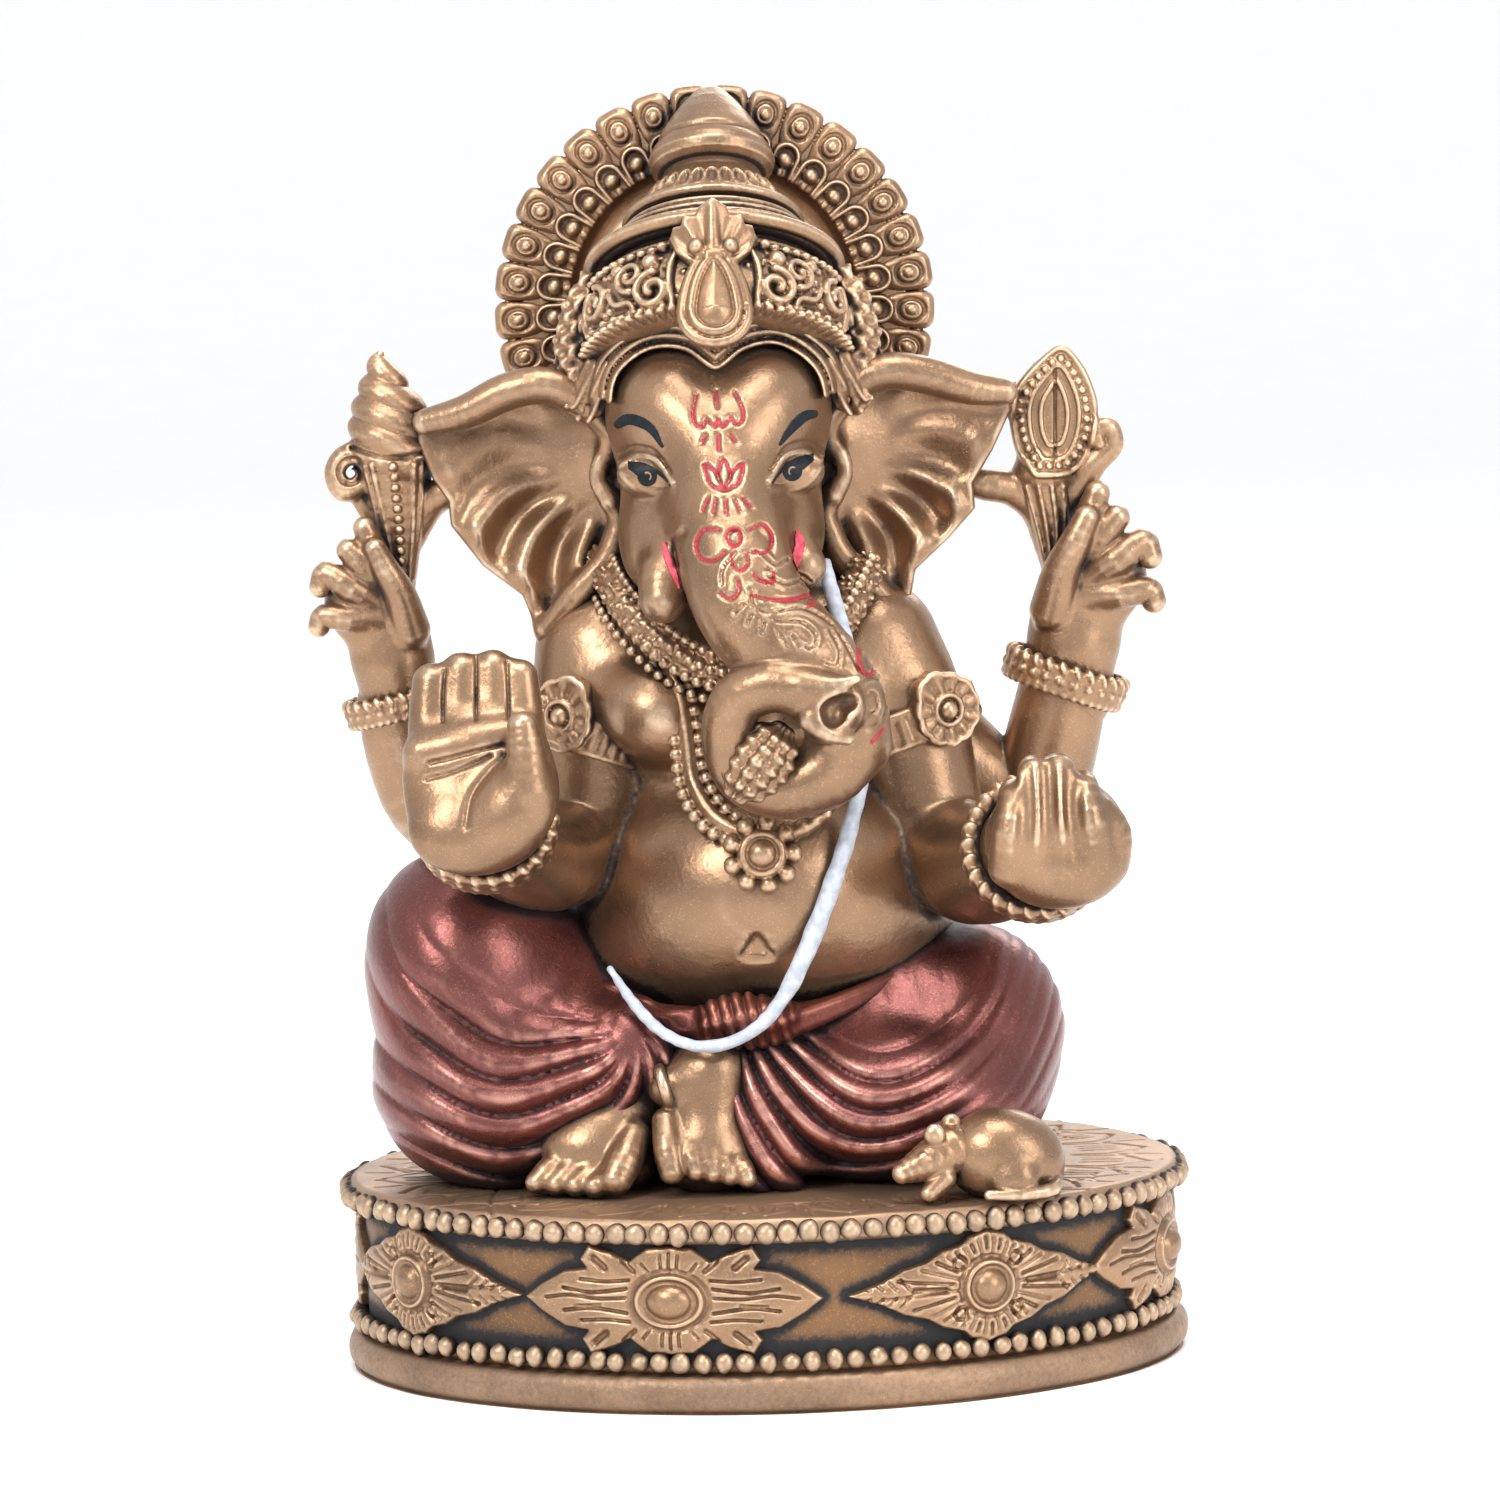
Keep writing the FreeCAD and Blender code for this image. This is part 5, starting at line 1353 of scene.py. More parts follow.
def oval(radius, angle):
    """A place on the oval of that half-width, and the direction out of it. Angle 0 is the front."""
    s, c = np.sin(angle), np.cos(angle)
    place = np.stack([radius * s, -radius * DEPTH_RATIO * c], -1)
    out = np.stack([DEPTH_RATIO * s, -c], -1)
    return place, out / np.linalg.norm(out, axis=-1, keepdims=True)


def edge_run(radius, angles):
    """How far along the oval's edge each angle lies, from the first one."""
    place, _ = oval(radius, angles)
    return np.r_[0, np.cumsum(np.linalg.norm(np.diff(place, axis=0), axis=1))]


FULL_TURN = np.linspace(0, 2 * math.pi, 4001)


def even_angles(radius, count):
    """Angles that step evenly along the oval's edge."""
    run = edge_run(radius, FULL_TURN)
    return np.interp(np.arange(count) / count * run[-1], run, FULL_TURN)


def skirt(rows, count):
    """Quads joining closed rows of points, each row count long."""
    base = np.arange(count)
    nxt = (base + 1) % count
    return np.concatenate([np.stack([base + k * count, nxt + k * count, nxt + (k + 1) * count,
                                     base + (k + 1) * count], 1)
                           for k in range(rows - 1)])


def wobble(angle, z, size):
    """The slight unevenness of a hand-finished mould."""
    ripple = np.sin(angle * 5 + z * 0.21) + 0.6 * np.sin(angle * 13 - z * 0.4 + 1.7)
    return size * (ripple + 0.35 * np.sin(angle * 31 + z * 0.9))


def oval_lathe(profile, count, size=0.03):
    """An oval moulding through (half-width, height) points, closed at its first and last radius."""
    angles = even_angles(40.0, count)
    rows = []
    for radius, z in profile:
        place, out = oval(max(radius, 0.01), angles)
        bumps = wobble(angles, z, size if radius > 40 else 0)
        rows.append(np.c_[place + out * bumps[:, None], np.full(count, z)])
    return np.vstack(rows), skirt(len(rows), count)


def flat_place(verts, angle_deg, radius):
    """Wraps a relief drawn as (across, up, out) onto the oval wall."""
    fine = np.radians(angle_deg) + np.linspace(-0.6, 0.6, 1201)
    run = edge_run(radius, fine)
    angle = np.interp(verts[:, 0], run - run[len(run) // 2], fine)
    place, out = oval(radius, angle)
    return np.c_[place + out * verts[:, 2:3], MEDALLION_MID + verts[:, 1]]


def four_ways(quarter):
    """A closed outline from its upper right quarter, which runs from the top to the side tip."""
    return (quarter + [(x, -z) for x, z in quarter[-2::-1]] + [(-x, -z) for x, z in quarter[1:]]
            + [(-x, z) for x, z in quarter[-2:0:-1]])


def flower_edge(u, v):
    """Lobed outline: a long pointed lobe each side, split corner leaves, a broad lobe above and below."""
    pts = [(0, 6.2), (2.6, 6.0), (4.0, 5.0), (4.7, 4.4), (6.6, 5.4), (9.4, 6.2), (10.4, 4.6), (9.6, 3.6),
           (12.4, 3.2), (15.2, 1.6), (17.3, 0)]
    return flat_polygon(u, v, four_ways(pts))


def diamond_edge(u, v):
    """A long lozenge with stepped sides."""
    pts = [(0, 6.5), (2.2, 5.9), (3.2, 5.0), (5.6, 4.4), (7.4, 3.3), (10.2, 2.6), (12.6, 1.3), (16.6, 0)]
    return flat_polygon(u, v, four_ways(pts))


MEDALLION_AT = {flower_edge: FIRST_MEDALLION,
                diamond_edge: FIRST_MEDALLION + 45}    # degrees, then every 90


def flower_relief():
    r = Relief((-19, -8), (19, 8))
    for sx in (-1, 1):
        for sy in (-1, 1):
            r.stroke([(sx * 4.9, sy * 1.4), (sx * 9, sy * 0.9), (sx * 12.4, sy * 1.3)], 0.55, -0.55)
            r.stroke([(sx * 4.6, sy * 2.4), (sx * 7.4, sy * 2.2), (sx * 10.4, sy * 2.4)], 0.5, -0.5)
            r.stroke([(sx * 7.4, sy * 3.8), (sx * 8.8, sy * 4.9)], 1.1, -0.7)
            r.stroke([(sx * 4.0, sy * 3.4), (sx * 5.4, sy * 4.6)], 0.7, -0.5)
            r.stroke([(sx * 0.9, sy * 3.7), (sx * 1.0, sy * 5.3)], 0.45, -0.5)
            r.stroke([(sx * 2.4, sy * 3.4), (sx * 3.2, sy * 4.4)], 0.45, -0.4)
        r.stroke([(sx * 5.0, 0.35), (sx * 8.4, 0.2), (sx * 11.6, 0.5), (sx * 14.6, 0.1)], 0.5, -0.5)
        r.stroke([(sx * 8, -0.5), (sx * 11, -0.7)], 0.4, -0.4)
        r.stroke([(0, sx * 3.6), (0, sx * 5.6)], 0.45, -0.45)
    return r


def diamond_relief():
    r = Relief((-18, -8), (18, 8))
    for k in range(36):
        a = 2 * math.pi * k / 36 + 0.05
        c, s = math.cos(a), math.sin(a)
        far = 1 / (abs(c) / 15.4 + abs(s) / 6.2)
        near = 4.4 if k % 2 else 3.6
        if far > near + 0.8:
            r.stroke([(near * c, near * s), (0.93 * far * c, 0.93 * far * s)], 0.55,
                     -0.5 if k % 2 else -0.3)
    for sx in (-1, 1):
        r.stroke([(sx * 5.2, 0), (sx * 9.0, 0.1)], 1.1, -0.7)
        for sy in (-1, 1):
            r.hoop((sx * 3.5, sy * 2.9), 0.75, 0.55, -0.55)
        for k in range(4):
            r.stroke([(sx * (9.6 + k * 1.5), 0.5), (sx * (10.6 + k * 1.3), 1.6 - 0.3 * k)], 0.5, -0.4)
            r.stroke([(sx * (9.6 + k * 1.5), -0.5), (sx * (10.6 + k * 1.3), -1.6 + 0.3 * k)], 0.5, -0.4)
    return r


def medallion(edge, relief, boss):
    """Flat relief plate (across, up, out) with an engraved face, a ringed knob and a soft edge."""
    def field(p):
        u, v, n = p[:, 0], p[:, 1], p[:, 2]
        e = edge(u, v)
        reach = np.hypot(u / boss[0], v / boss[1])
        flat = 1.15 + 0.25 * ramp(-e, 0.0,
                                  1.6) + relief(u, v) - 0.35 * np.exp(-((reach - 1.62) / 0.16) ** 2)
        flat = flat + 0.5 * np.exp(-((reach - 1.35) / 0.18) ** 2)
        d = smax(n - flat, e, 0.5)
        knob = blob(p, (0, 0, 0.9), (boss[0], boss[1], 1.9))
        return np.maximum(smin(d, knob, 0.3), -n - 0.8)
    return field


def relief_set(edge, relief, boss, first):
    """Four copies of a medallion, a quarter turn apart."""
    voxel = 0.215
    verts, quads, _ = sculpt(medallion(edge, relief, boss), (-18, -7.2, -0.9), (18, 7.2, 3.0), voxel)
    every = [flat_place(verts, first + 90 * k, DRUM_WALL) for k in range(4)]
    return np.vstack(every), np.vstack([quads + k * len(verts) for k in range(4)])


def sphere_mesh(around=12, up=8):
    a = np.arange(around) / around * 2 * math.pi
    rows = []
    for k in range(up + 1):
        t = math.pi * k / up
        rows.append(np.stack([math.sin(t) * np.cos(a), math.sin(t) * np.sin(a),
                              np.full(around, -math.cos(t))], 1))
    return np.vstack(rows), skirt(up + 1, around)


def bead_row(radius, height, size, count):
    """Cast beads, each a little different from the next."""
    ball, faces = sphere_mesh(16, 10)
    place, out = oval(radius, even_angles(radius, count))
    verts, quads = [], []
    for k in range(count):
        scale = size * (1 + rng.normal(0, 0.045, 3)) * (1.0, 1.0, 1.06)
        centre = np.r_[place[k], height] + rng.normal(0, 0.09, 3)
        lump = 1 + 0.05 * np.sin(ball @ rng.normal(0, 2.4, 3) + rng.uniform(0, 6))
        side = np.array((out[k][1], -out[k][0], 0))
        axes = np.stack([side, np.r_[out[k], 0], (0, 0, 1.0)])
        verts.append(centre + (ball * scale * lump[:, None]) @ axes)
        quads.append(faces + k * len(ball))
    return np.vstack(verts), np.vstack(quads)


def slab_relief():
    """Shallow lotus petals and square joints scratched into the plinth's top, seen from above."""
    r = Relief((-52, -42), (52, 42), 0.16)
    petals = 26
    for a in even_angles(40, petals):
        place, out = oval(1.0, np.array(a))
        side = np.array((-out[1], out[0]))
        base, tip = place * 36.5, place * 46.0
        mid = place * 42.0
        r.stroke([base - side * 3.6, mid - side * 3.4, tip], 0.7, -0.4)
        r.stroke([base + side * 3.6, mid + side * 3.4, tip], 0.7, -0.4)
        for t in (-1.5, 0, 1.5):
            r.stroke([place * 38.0 + side * t, place * 42.6 + side * t * 0.7], 0.5, -0.3)
        between = oval(1.0, np.array(a + math.pi / petals))[0]
        r.stroke([between * 44.2, between * 47.2], 0.6, -0.35)
        r.dot(tuple(between * 42.6), 0.8, -0.3)
    for x in (-31.0, 33.0):
        r.stroke([(x, -33), (x * 1.02, -18), (x * 0.96, 0), (x, 26)], 0.5, -0.5)
    for y in (-24.0, 18.0):
        r.stroke([(-48, y), (-34, y + 1), (-26, y)], 0.5, -0.5)
        r.stroke([(30, y + 2), (38, y), (47, y + 1)], 0.5, -0.5)
    for _ in range(70):
        a, far = rng.uniform(0, 2 * math.pi), rng.uniform(24, 47)
        place = np.array((far * math.sin(a), -far * DEPTH_RATIO * math.cos(a)))
        step = rng.normal(0, 1.6, 2)
        r.stroke([place, place + step, place + step * 1.8 + rng.normal(0, 0.5, 2)], rng.uniform(0.3, 0.6),
                 rng.uniform(-0.35, -0.15))
    return r


def slab_mesh():
    """The top: a rim moulding, then rings of points that carry the scratched drawing."""
    low, high, edge = SLAB_BASE, SLAB_TOP, SLAB_EDGE
    count = 1100
    drawing = slab_relief()
    rim = [(edge - 3.0, low), (edge - 0.9, low), (edge - 0.2, low + 0.5), (edge, low + 1.2),
           (edge - 0.1, high - 0.8),
           (edge - 0.5, high - 0.15)]
    pitch, rings = ((0.3, 64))
    inner = [(edge - 0.9 - k * pitch, high) for k in range(rings)] + [(24, high), (10, high), (0, high)]
    verts, quads = oval_lathe(rim + inner, count)
    top = verts[:, 2] > high - 0.2
    verts[top, 2] += drawing(verts[top, 0], verts[top, 1])
    verts[top, 2] += 0.06 * np.sin(verts[top, 0] * 0.6) * np.cos(verts[top, 1] * 0.7)
    return verts, quads


def drum_mesh():
    """The recessed band, which runs a little way under the mouldings above and below it."""
    low, high = (v[2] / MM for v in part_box("plinth_drum"))
    lap, inner = 0.2, DRUM_WALL * 0.9
    rows = 44
    wall = [(DRUM_WALL - 0.25 * abs(2 * t - 1) ** 6,
             low - lap + t * (high - low + 2 * lap)) for t in np.linspace(0, 1, rows)]
    return oval_lathe([(inner, low - lap)] + wall + [(inner, high + lap)], 1500, 0.05)


def foot_mesh():
    """The rounded bottom moulding, flat underneath."""
    (_, _, low), (edge, _, _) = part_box("plinth_foot")
    low, r = low / MM, edge / MM
    shape = [(0, 0), (20, 0), (r - 3, 0), (r - 1.6, 0.04), (r - 1.0, 0.3), (r - 0.5, 0.8), (r - 0.15, 1.4),
             (r, 2.1), (r - 0.02, 2.7),
             (r - 0.2, 3.3), (r - 0.5, 3.8), (r - 1.0, 4.2), (r - 1.5, 4.35), (r - 2.0, 4.3),
             (r - 2.6, 4.4), (r - 4, 4.7)]
    drawn = shape[-1][1]
    dense = spline(shape, 3)
    return oval_lathe([(x, low + z / drawn * (FOOT_TOP - low)) for x, z in dense], 1200,
                      0.07)


# ------------------------------------------------------------------ the sculpted pieces

SCULPTS = {}       # name: (field, CAD nodes it stands for, voxel, slot)


def cast(slot, voxel, **fields):
    """Pieces that each stand for the CAD node of their own name."""
    for name, field in fields.items():
        SCULPTS[name] = field, [name], voxel, slot


def either(shape, side):
    return lambda p: shape(p, side)


def joined(name, field, nodes, voxel, slot):
    """A piece that stands for nodes of other names."""
    SCULPTS[name] = field, nodes, voxel, slot


SKIN = 0.47
joined("body", body, ["torso"] + list(ARMS), SKIN, "bronze_skin")
cast("bronze_skin", FINE, right_rear_hand=either(rear_hand, -1), left_rear_hand=either(rear_hand, 1),
     right_front_hand=open_palm, left_front_hand=lowered_hand)
cast("burgundy_cloth", PLAIN, dhoti_seat=seat, right_leg=right_leg, left_leg=left_leg)
cast("copper_sash", FINE, waist_sash=sash)
cast("bronze_skin", FINE, right_foot=right_foot, left_foot=left_foot)
joined("face", face_surface, ["head", "trunk"], FINE * 1.2, "bronze_skin")
joined("tusks", tusks, ["right_tusk", "left_tusk"], FINE, "bronze_skin")
cast("bronze_skin", FINE, trunk_sweet=sweet, right_ear=either(ear, -1), left_ear=either(ear, 1))
cast("gold_relief", FINE, right_emblem=shell_emblem, left_emblem=blade_emblem, crown_diadem=diadem)
cast("gold_relief", FINE * 0.75, crown_crest=crest)
cast("gold_relief", FINE, crown_lower_brim=lower_tier, crown_upper_brim=upper_tier, crown_finial=finial,
     hair_band=hair_band, right_side_ornament=either(side_ornament, -1),
     left_side_ornament=either(side_ornament, 1), halo_disc=halo_disc)
cast("gold_relief", FINE * 0.85, halo_outer_petals=halo_outer, halo_inner_petals=halo_inner)
cast("gold_relief", FINE, collar=collar, long_necklace=necklace)
cast("gold_relief", FINE * 0.75, pendant=pendant)
cast("white_thread", FINE, sacred_thread=thread)
cast("gold_relief", FINE, **{name: either(bracelet, form) for name, form in BRACELETS.items()})
cast("gold_relief", FINE, right_armlet=right_armlet, left_armlet=left_armlet)
cast("bronze_skin", FINE, mouse_body=mouse_body, mouse_head=mouse_head)
for name, mask, coat, back, node, voxel, slot in (
        ("forehead_mark", tilak_mask(), 0.09, -2.0, "forehead_mark", 0.14, "red_mark"),
        ("brows", brow_mask(), 0.10, -2.0, "brows", 0.14, "slate_brow"),
        ("lips", lip_mask(), 0.16, 2.0, "lips", 0.16, "pink_lip"),
        ("eyes", eye_mask(), 0.05, -2.0, "eyes", 0.14, "eye_paint"),
        ("irises", iris_mask(), 0.11, -2.0, "eyes", 0.12, "eye_paint")):
    joined(name, painted(mask, coat, back), [node], voxel, slot)


# Where a piece reaches further than its own node's box, it is meshed inside these corners.
OWN_RANGE = {"right_armlet": ((-30, -12, 66), (-9, 9, 84)), "forehead_mark": ((-8, -36, 74), (17, -8, 117)),
             "irises": ((-16, -20, 102), (11, -8, 109)), "eyes": ((-16, -20, 102), (11, -8, 109)),
             "brows": ((-17, -20, 106), (11, -4, 114)), "lips": ((-12, -22, 90), (9, -4, 101))}
FILLED = []     # (points inside, volume that each stands for)


def carve(name):
    field, nodes, voxel, _ = SCULPTS[name]
    low, high = OWN_RANGE.get(name) or span(nodes, 3.0)
    return name, sculpt(field, low, high, voxel)


with ThreadPoolExecutor(4) as pool:
    carved = dict(pool.map(carve, SCULPTS))
for name, (verts, quads, filled) in carved.items():
    _, nodes, _, slot = SCULPTS[name]
    new_piece(name, verts, quads, slot, nodes)
    FILLED.append(filled)

for name, mesh in (("plinth_foot", foot_mesh), ("plinth_drum", drum_mesh), ("plinth_slab", slab_mesh)):
    new_piece(name, *mesh(), "plinth_bronze", [name])
new_piece("upper_beads", *bead_row(*UPPER_BEADS), "gold_relief", ["upper_bead_row"])
new_piece("lower_beads", *bead_row(*LOWER_BEADS), "gold_relief", ["lower_bead_row"])
for node, edge, relief, boss in (("flower_medallions", flower_edge, flower_relief(), (2.7, 2.1)),
                                 ("diamond_medallions", diamond_edge, diamond_relief(), (2.1, 2.1))):
    new_piece(node, *relief_set(edge, relief, boss, MEDALLION_AT[edge]), "gold_relief", [node])


# ------------------------------------------------------------------ wear and painted light: wash and painted shade in the hollows, rubbed edges with painted highlights

CELL = 0.8
ORIGIN = np.array(CAD_BOX[0]) / MM - 6
GRID = np.ceil((np.array(CAD_BOX[1]) / MM + 6 - ORIGIN) / CELL).astype(int)


def solid_grid():
    """How full each cell of the whole figure is."""
    full = np.zeros(GRID, F).ravel()
    for points, volume in FILLED:
        index = np.round((points - ORIGIN) / CELL).astype(int)
        index = index[((index >= 0) & (index < GRID)).all(1)]
        flat = np.ravel_multi_index(index.T, GRID)
        full += np.bincount(flat, minlength=full.size).astype(F) * F(volume / CELL ** 3)
    full = np.minimum(full, 1).reshape(GRID)
    x, y, z = [ORIGIN[k] + np.arange(GRID[k]) * CELL for k in range(3)]
    oval_in = np.hypot(x[:, None], y[None, :] / DEPTH_RATIO)[:, :, None]
    drum = (oval_in < DRUM_WALL) & (z > 0) & (z < SLAB_TOP)
    rims = (oval_in < SLAB_EDGE) & (z > 0) & (z < SLAB_TOP) & ((z < FOOT_TOP) | (z > SLAB_BASE))
    return np.maximum(full, (drum | rims).astype(F))


def blurred(grid, sigma):
    spectrum = np.fft.rfftn(grid)
    for axis, size in enumerate(grid.shape):
        freq = np.fft.rfftfreq(size) if axis == 2 else np.fft.fftfreq(size)
        shape = [1, 1, 1]
        shape[axis] = -1
        spectrum = spectrum * np.exp(-2 * (math.pi * freq * sigma / CELL) ** 2).reshape(shape)
    return np.fft.irfftn(spectrum, grid.shape).astype(F)


def read_grid(grid, points):
    at = np.clip((points - ORIGIN) / CELL, 0, GRID - 1.001)
    i = at.astype(int)
    t = at - i
    total = 0
    for c in CORNERS:
        weight = np.prod(np.where(c, t, 1 - t), 1)
        total = total + weight * grid[tuple((i + c).T)]
    return total


def normals_of(verts, faces):
    a = verts[faces[:, 2]] - verts[faces[:, 0]]
    b = verts[faces[:, -1]] - verts[faces[:, 1]]
    face = np.cross(a, b)
    out = np.zeros_like(verts)
    for k in range(3):
        for c in range(faces.shape[1]):
            out[:, k] += np.bincount(faces[:, c], face[:, k], len(verts))
    return out / np.maximum(np.linalg.norm(out, axis=1, keepdims=True), 1e-9)


def neighbour_mean(values, faces, count):
    total, hits = np.zeros((count,) + values.shape[1:]), np.zeros(count)
    width = faces.shape[1]
    for c in range(width):
        a, b = faces[:, c], faces[:, (c + 1) % width]
        hits += np.bincount(a, minlength=count)
        if values.ndim == 1:
            total += np.bincount(a, values[b], count)
        else:
            for k in range(values.shape[1]):
                total[:, k] += np.bincount(a, values[b, k], count)
    hits = np.maximum(hits, 1)
    return total / (hits if values.ndim == 1 else hits[:, None])


def bead_wear_and_shade(verts, normal):
    """Beads are bright on their outer half and dark where they meet the wall; the dark is wash and painted
    shade.
    """
    outward = np.stack([verts[:, 0] * DEPTH_RATIO, verts[:, 1] / DEPTH_RATIO], 1)
    outward /= np.linalg.norm(outward, axis=1, keepdims=True)
    facing = (normal[:, :2] * outward).sum(1)
    return 0.36 + 0.6 * np.clip(0.55 - facing, 0, 1), 0.17 - 0.05 * np.clip(facing, 0, 1)


def medallion_wear_and_shade(verts, normal):
    """Only the engraving and the rim of a medallion hold wash and painted shade."""
    facing = (normal[:, :2] * verts[:, :2]).sum(1) / np.linalg.norm(verts[:, :2], axis=1)
    return 0.2 + 0.3 * np.clip(0.7 - facing, 0, 1), np.full(len(verts), 0.13)


def drum_wear_and_shade(verts, normal):
    """Wash and painted shade gather against the bead rows and round every medallion."""
    run = edge_run(DRUM_WALL, FULL_TURN)
    angle = np.arctan2(verts[:, 0] / DRUM_WALL, -verts[:, 1] / (DRUM_WALL * DEPTH_RATIO)) % (2 * math.pi)
    here = np.interp(angle, FULL_TURN, run)
    away = np.full(len(verts), 9.0)
    for edge, first in MEDALLION_AT.items():
        for k in range(4):
            middle = np.interp(math.radians(first + 90 * k) % (2 * math.pi), FULL_TURN, run)
            u = (here - middle + run[-1] / 2) % run[-1] - run[-1] / 2
            close = np.abs(u) < 22
            away[close] = np.minimum(away[close], np.abs(edge(u[close], verts[close, 2] - MEDALLION_MID)))
    over, under = LOWER_BEADS[1] + 1.2, UPPER_BEADS[1] - 1.5
    rows = np.minimum(np.abs(verts[:, 2] - over), np.abs(verts[:, 2] - under))
    wash_shade_strength = 0.2 + 0.42 * np.exp(-(away / 0.9) ** 2) + 0.36 * np.exp(-(rows / 1.3) ** 2) + 0.10
    return wash_shade_strength, np.full(len(verts), 0.18)


def dish_wear(verts, normal):
    """The dish behind the crown is plain bright metal."""
    return np.full(len(verts), 0.24), np.full(len(verts), 0.2)


def foot_wear(verts, normal):
    """A thin even film of wash dulls the plinth's foot."""
    return np.full(len(verts), 0.45), np.full(len(verts), 0.18)


LOW_RELIEF = {"plinth_foot": foot_wear, "halo_disc": dish_wear, "upper_beads": bead_wear_and_shade,
              "lower_beads": bead_wear_and_shade, "flower_medallions": medallion_wear_and_shade,
              "diamond_medallions": medallion_wear_and_shade, "plinth_drum": drum_wear_and_shade}


# How much of the wash and painted shade in the hollows these pieces keep; the rest is left off.
WASH_AND_SHADE_LEFT = {"face": 0.55, "body": 0.72, "plinth_slab": 0.4}


def paint_wear_and_shade():
    """Works out from the geometry how much wash and painted shade each point holds, and how rubbed and
    highlighted it is.
    """
    solid = solid_grid()
    wide, close = blurred(solid, 2.4), blurred(solid, 0.9)
    for name, obj, verts, faces in MADE:
        normal = normals_of(verts, faces)
        lap = neighbour_mean(verts, faces, len(verts)) - verts
        step = math.sqrt(max(float(np.mean((lap ** 2).sum(1))), 1e-9)) + 0.02
        bend = (lap * normal).sum(1) / (step + np.linalg.norm(lap, axis=1))
        for _ in range(2):
            bend = 0.5 * bend + 0.5 * neighbour_mean(bend, faces, len(verts))
        # broad and near say how closed in a point is, as ambient occlusion does; the darkening drawn from
        # them is wash and painted shade
        broad = read_grid(wide, verts + normal * 2.4)
        near = read_grid(close, verts + normal * 1.0)
        if name in LOW_RELIEF:
            broad, near = LOW_RELIEF[name](verts, normal)
        hollow = 1.5 * np.clip(broad - 0.2, 0, 1) + 1.3 * np.clip(near - 0.24, 0, 1)
        wash_and_shade = WASH_AND_SHADE_LEFT.get(name, 1.0) * hollow + 1.1 * np.clip(bend - 0.05, 0, 1)
        # open and convex places are lightened: rubbed metal together with a painted highlight
        edge = 2.2 * np.clip(0.14 - near, 0, 1) + 1.2 * np.clip(-bend - 0.08, 0, 1)
        for key, value in (("wash_and_shade", wash_and_shade), ("edge", edge)):
            attribute = obj.data.attributes.new(key, "FLOAT", "POINT")
            attribute.data.foreach_set("value", np.clip(value, 0, 1).astype(F))


paint_wear_and_shade()


# ------------------------------------------------------------------ materials

def linear(rgb):
    out = [c / 255 for c in rgb]
    return tuple(c / 12.92 if c <= 0.04045 else ((c + 0.055) / 1.055) ** 2.4 for c in out) + (1,)


class Nodes:
    """A short way of writing a node tree."""

    def __init__(self, name):
        self.material = bpy.data.materials.new(name)
        self.material.use_nodes = True
        self.tree = self.material.node_tree
        self.shader = self.tree.nodes["Principled BSDF"]
        self.place = self.add("ShaderNodeTexCoord").outputs["Object"]

    def add(self, kind, **settings):
        node = self.tree.nodes.new(kind)
        for key, value in settings.items():
            setattr(node, key, value)
        return node

    def link(self, out, socket):
        if isinstance(out, (int, float, tuple)):
            socket.default_value = out
        else:
            self.tree.links.new(out, socket)

    def attribute(self, name):
        return self.add("ShaderNodeAttribute", attribute_name=name).outputs["Fac"]

    def noise(self, scale, detail=3.0, rough=0.55):
        node = self.add("ShaderNodeTexNoise")
        self.link(self.place, node.inputs["Vector"])
        node.inputs["Scale"].default_value = scale
        node.inputs["Detail"].default_value = detail
        node.inputs["Roughness"].default_value = rough
        return node.outputs["Fac"]

    def cells(self, scale):
        node = self.add("ShaderNodeTexVoronoi")
        self.link(self.place, node.inputs["Vector"])
        node.inputs["Scale"].default_value = scale
        split = self.add("ShaderNodeSeparateColor")
        self.link(node.outputs["Color"], split.inputs["Color"])
        return split.outputs["Red"]

    def math(self, kind, a, b=0.0, clamp=False):
        node = self.add("ShaderNodeMath", operation=kind, use_clamp=clamp)
        self.link(a, node.inputs[0])
        self.link(b, node.inputs[1])
        return node.outputs[0]

    def remap(self, value, low, high, to_low=0.0, to_high=1.0):
        node = self.add("ShaderNodeMapRange", interpolation_type="SMOOTHSTEP")
        self.link(value, node.inputs["Value"])
        for key, number in (("From Min", low), ("From Max", high), ("To Min", to_low), ("To Max", to_high)):
            node.inputs[key].default_value = number
        return node.outputs["Result"]

    def mix(self, factor, a, b, blend="MIX"):
        node = self.add("ShaderNodeMix", data_type="RGBA", blend_type=blend)
        self.link(factor, node.inputs["Factor"])
        colour_a, colour_b, result = node.inputs[6], node.inputs[7], node.outputs[2]
        self.link(a, colour_a)
        self.link(b, colour_b)
        return result

    def bump(self, height, strength, distance):
        node = self.add("ShaderNodeBump")
        self.link(height, node.inputs["Height"])
        node.inputs["Strength"].default_value = strength
        node.inputs["Distance"].default_value = distance
        self.link(node.outputs["Normal"], self.shader.inputs["Normal"])


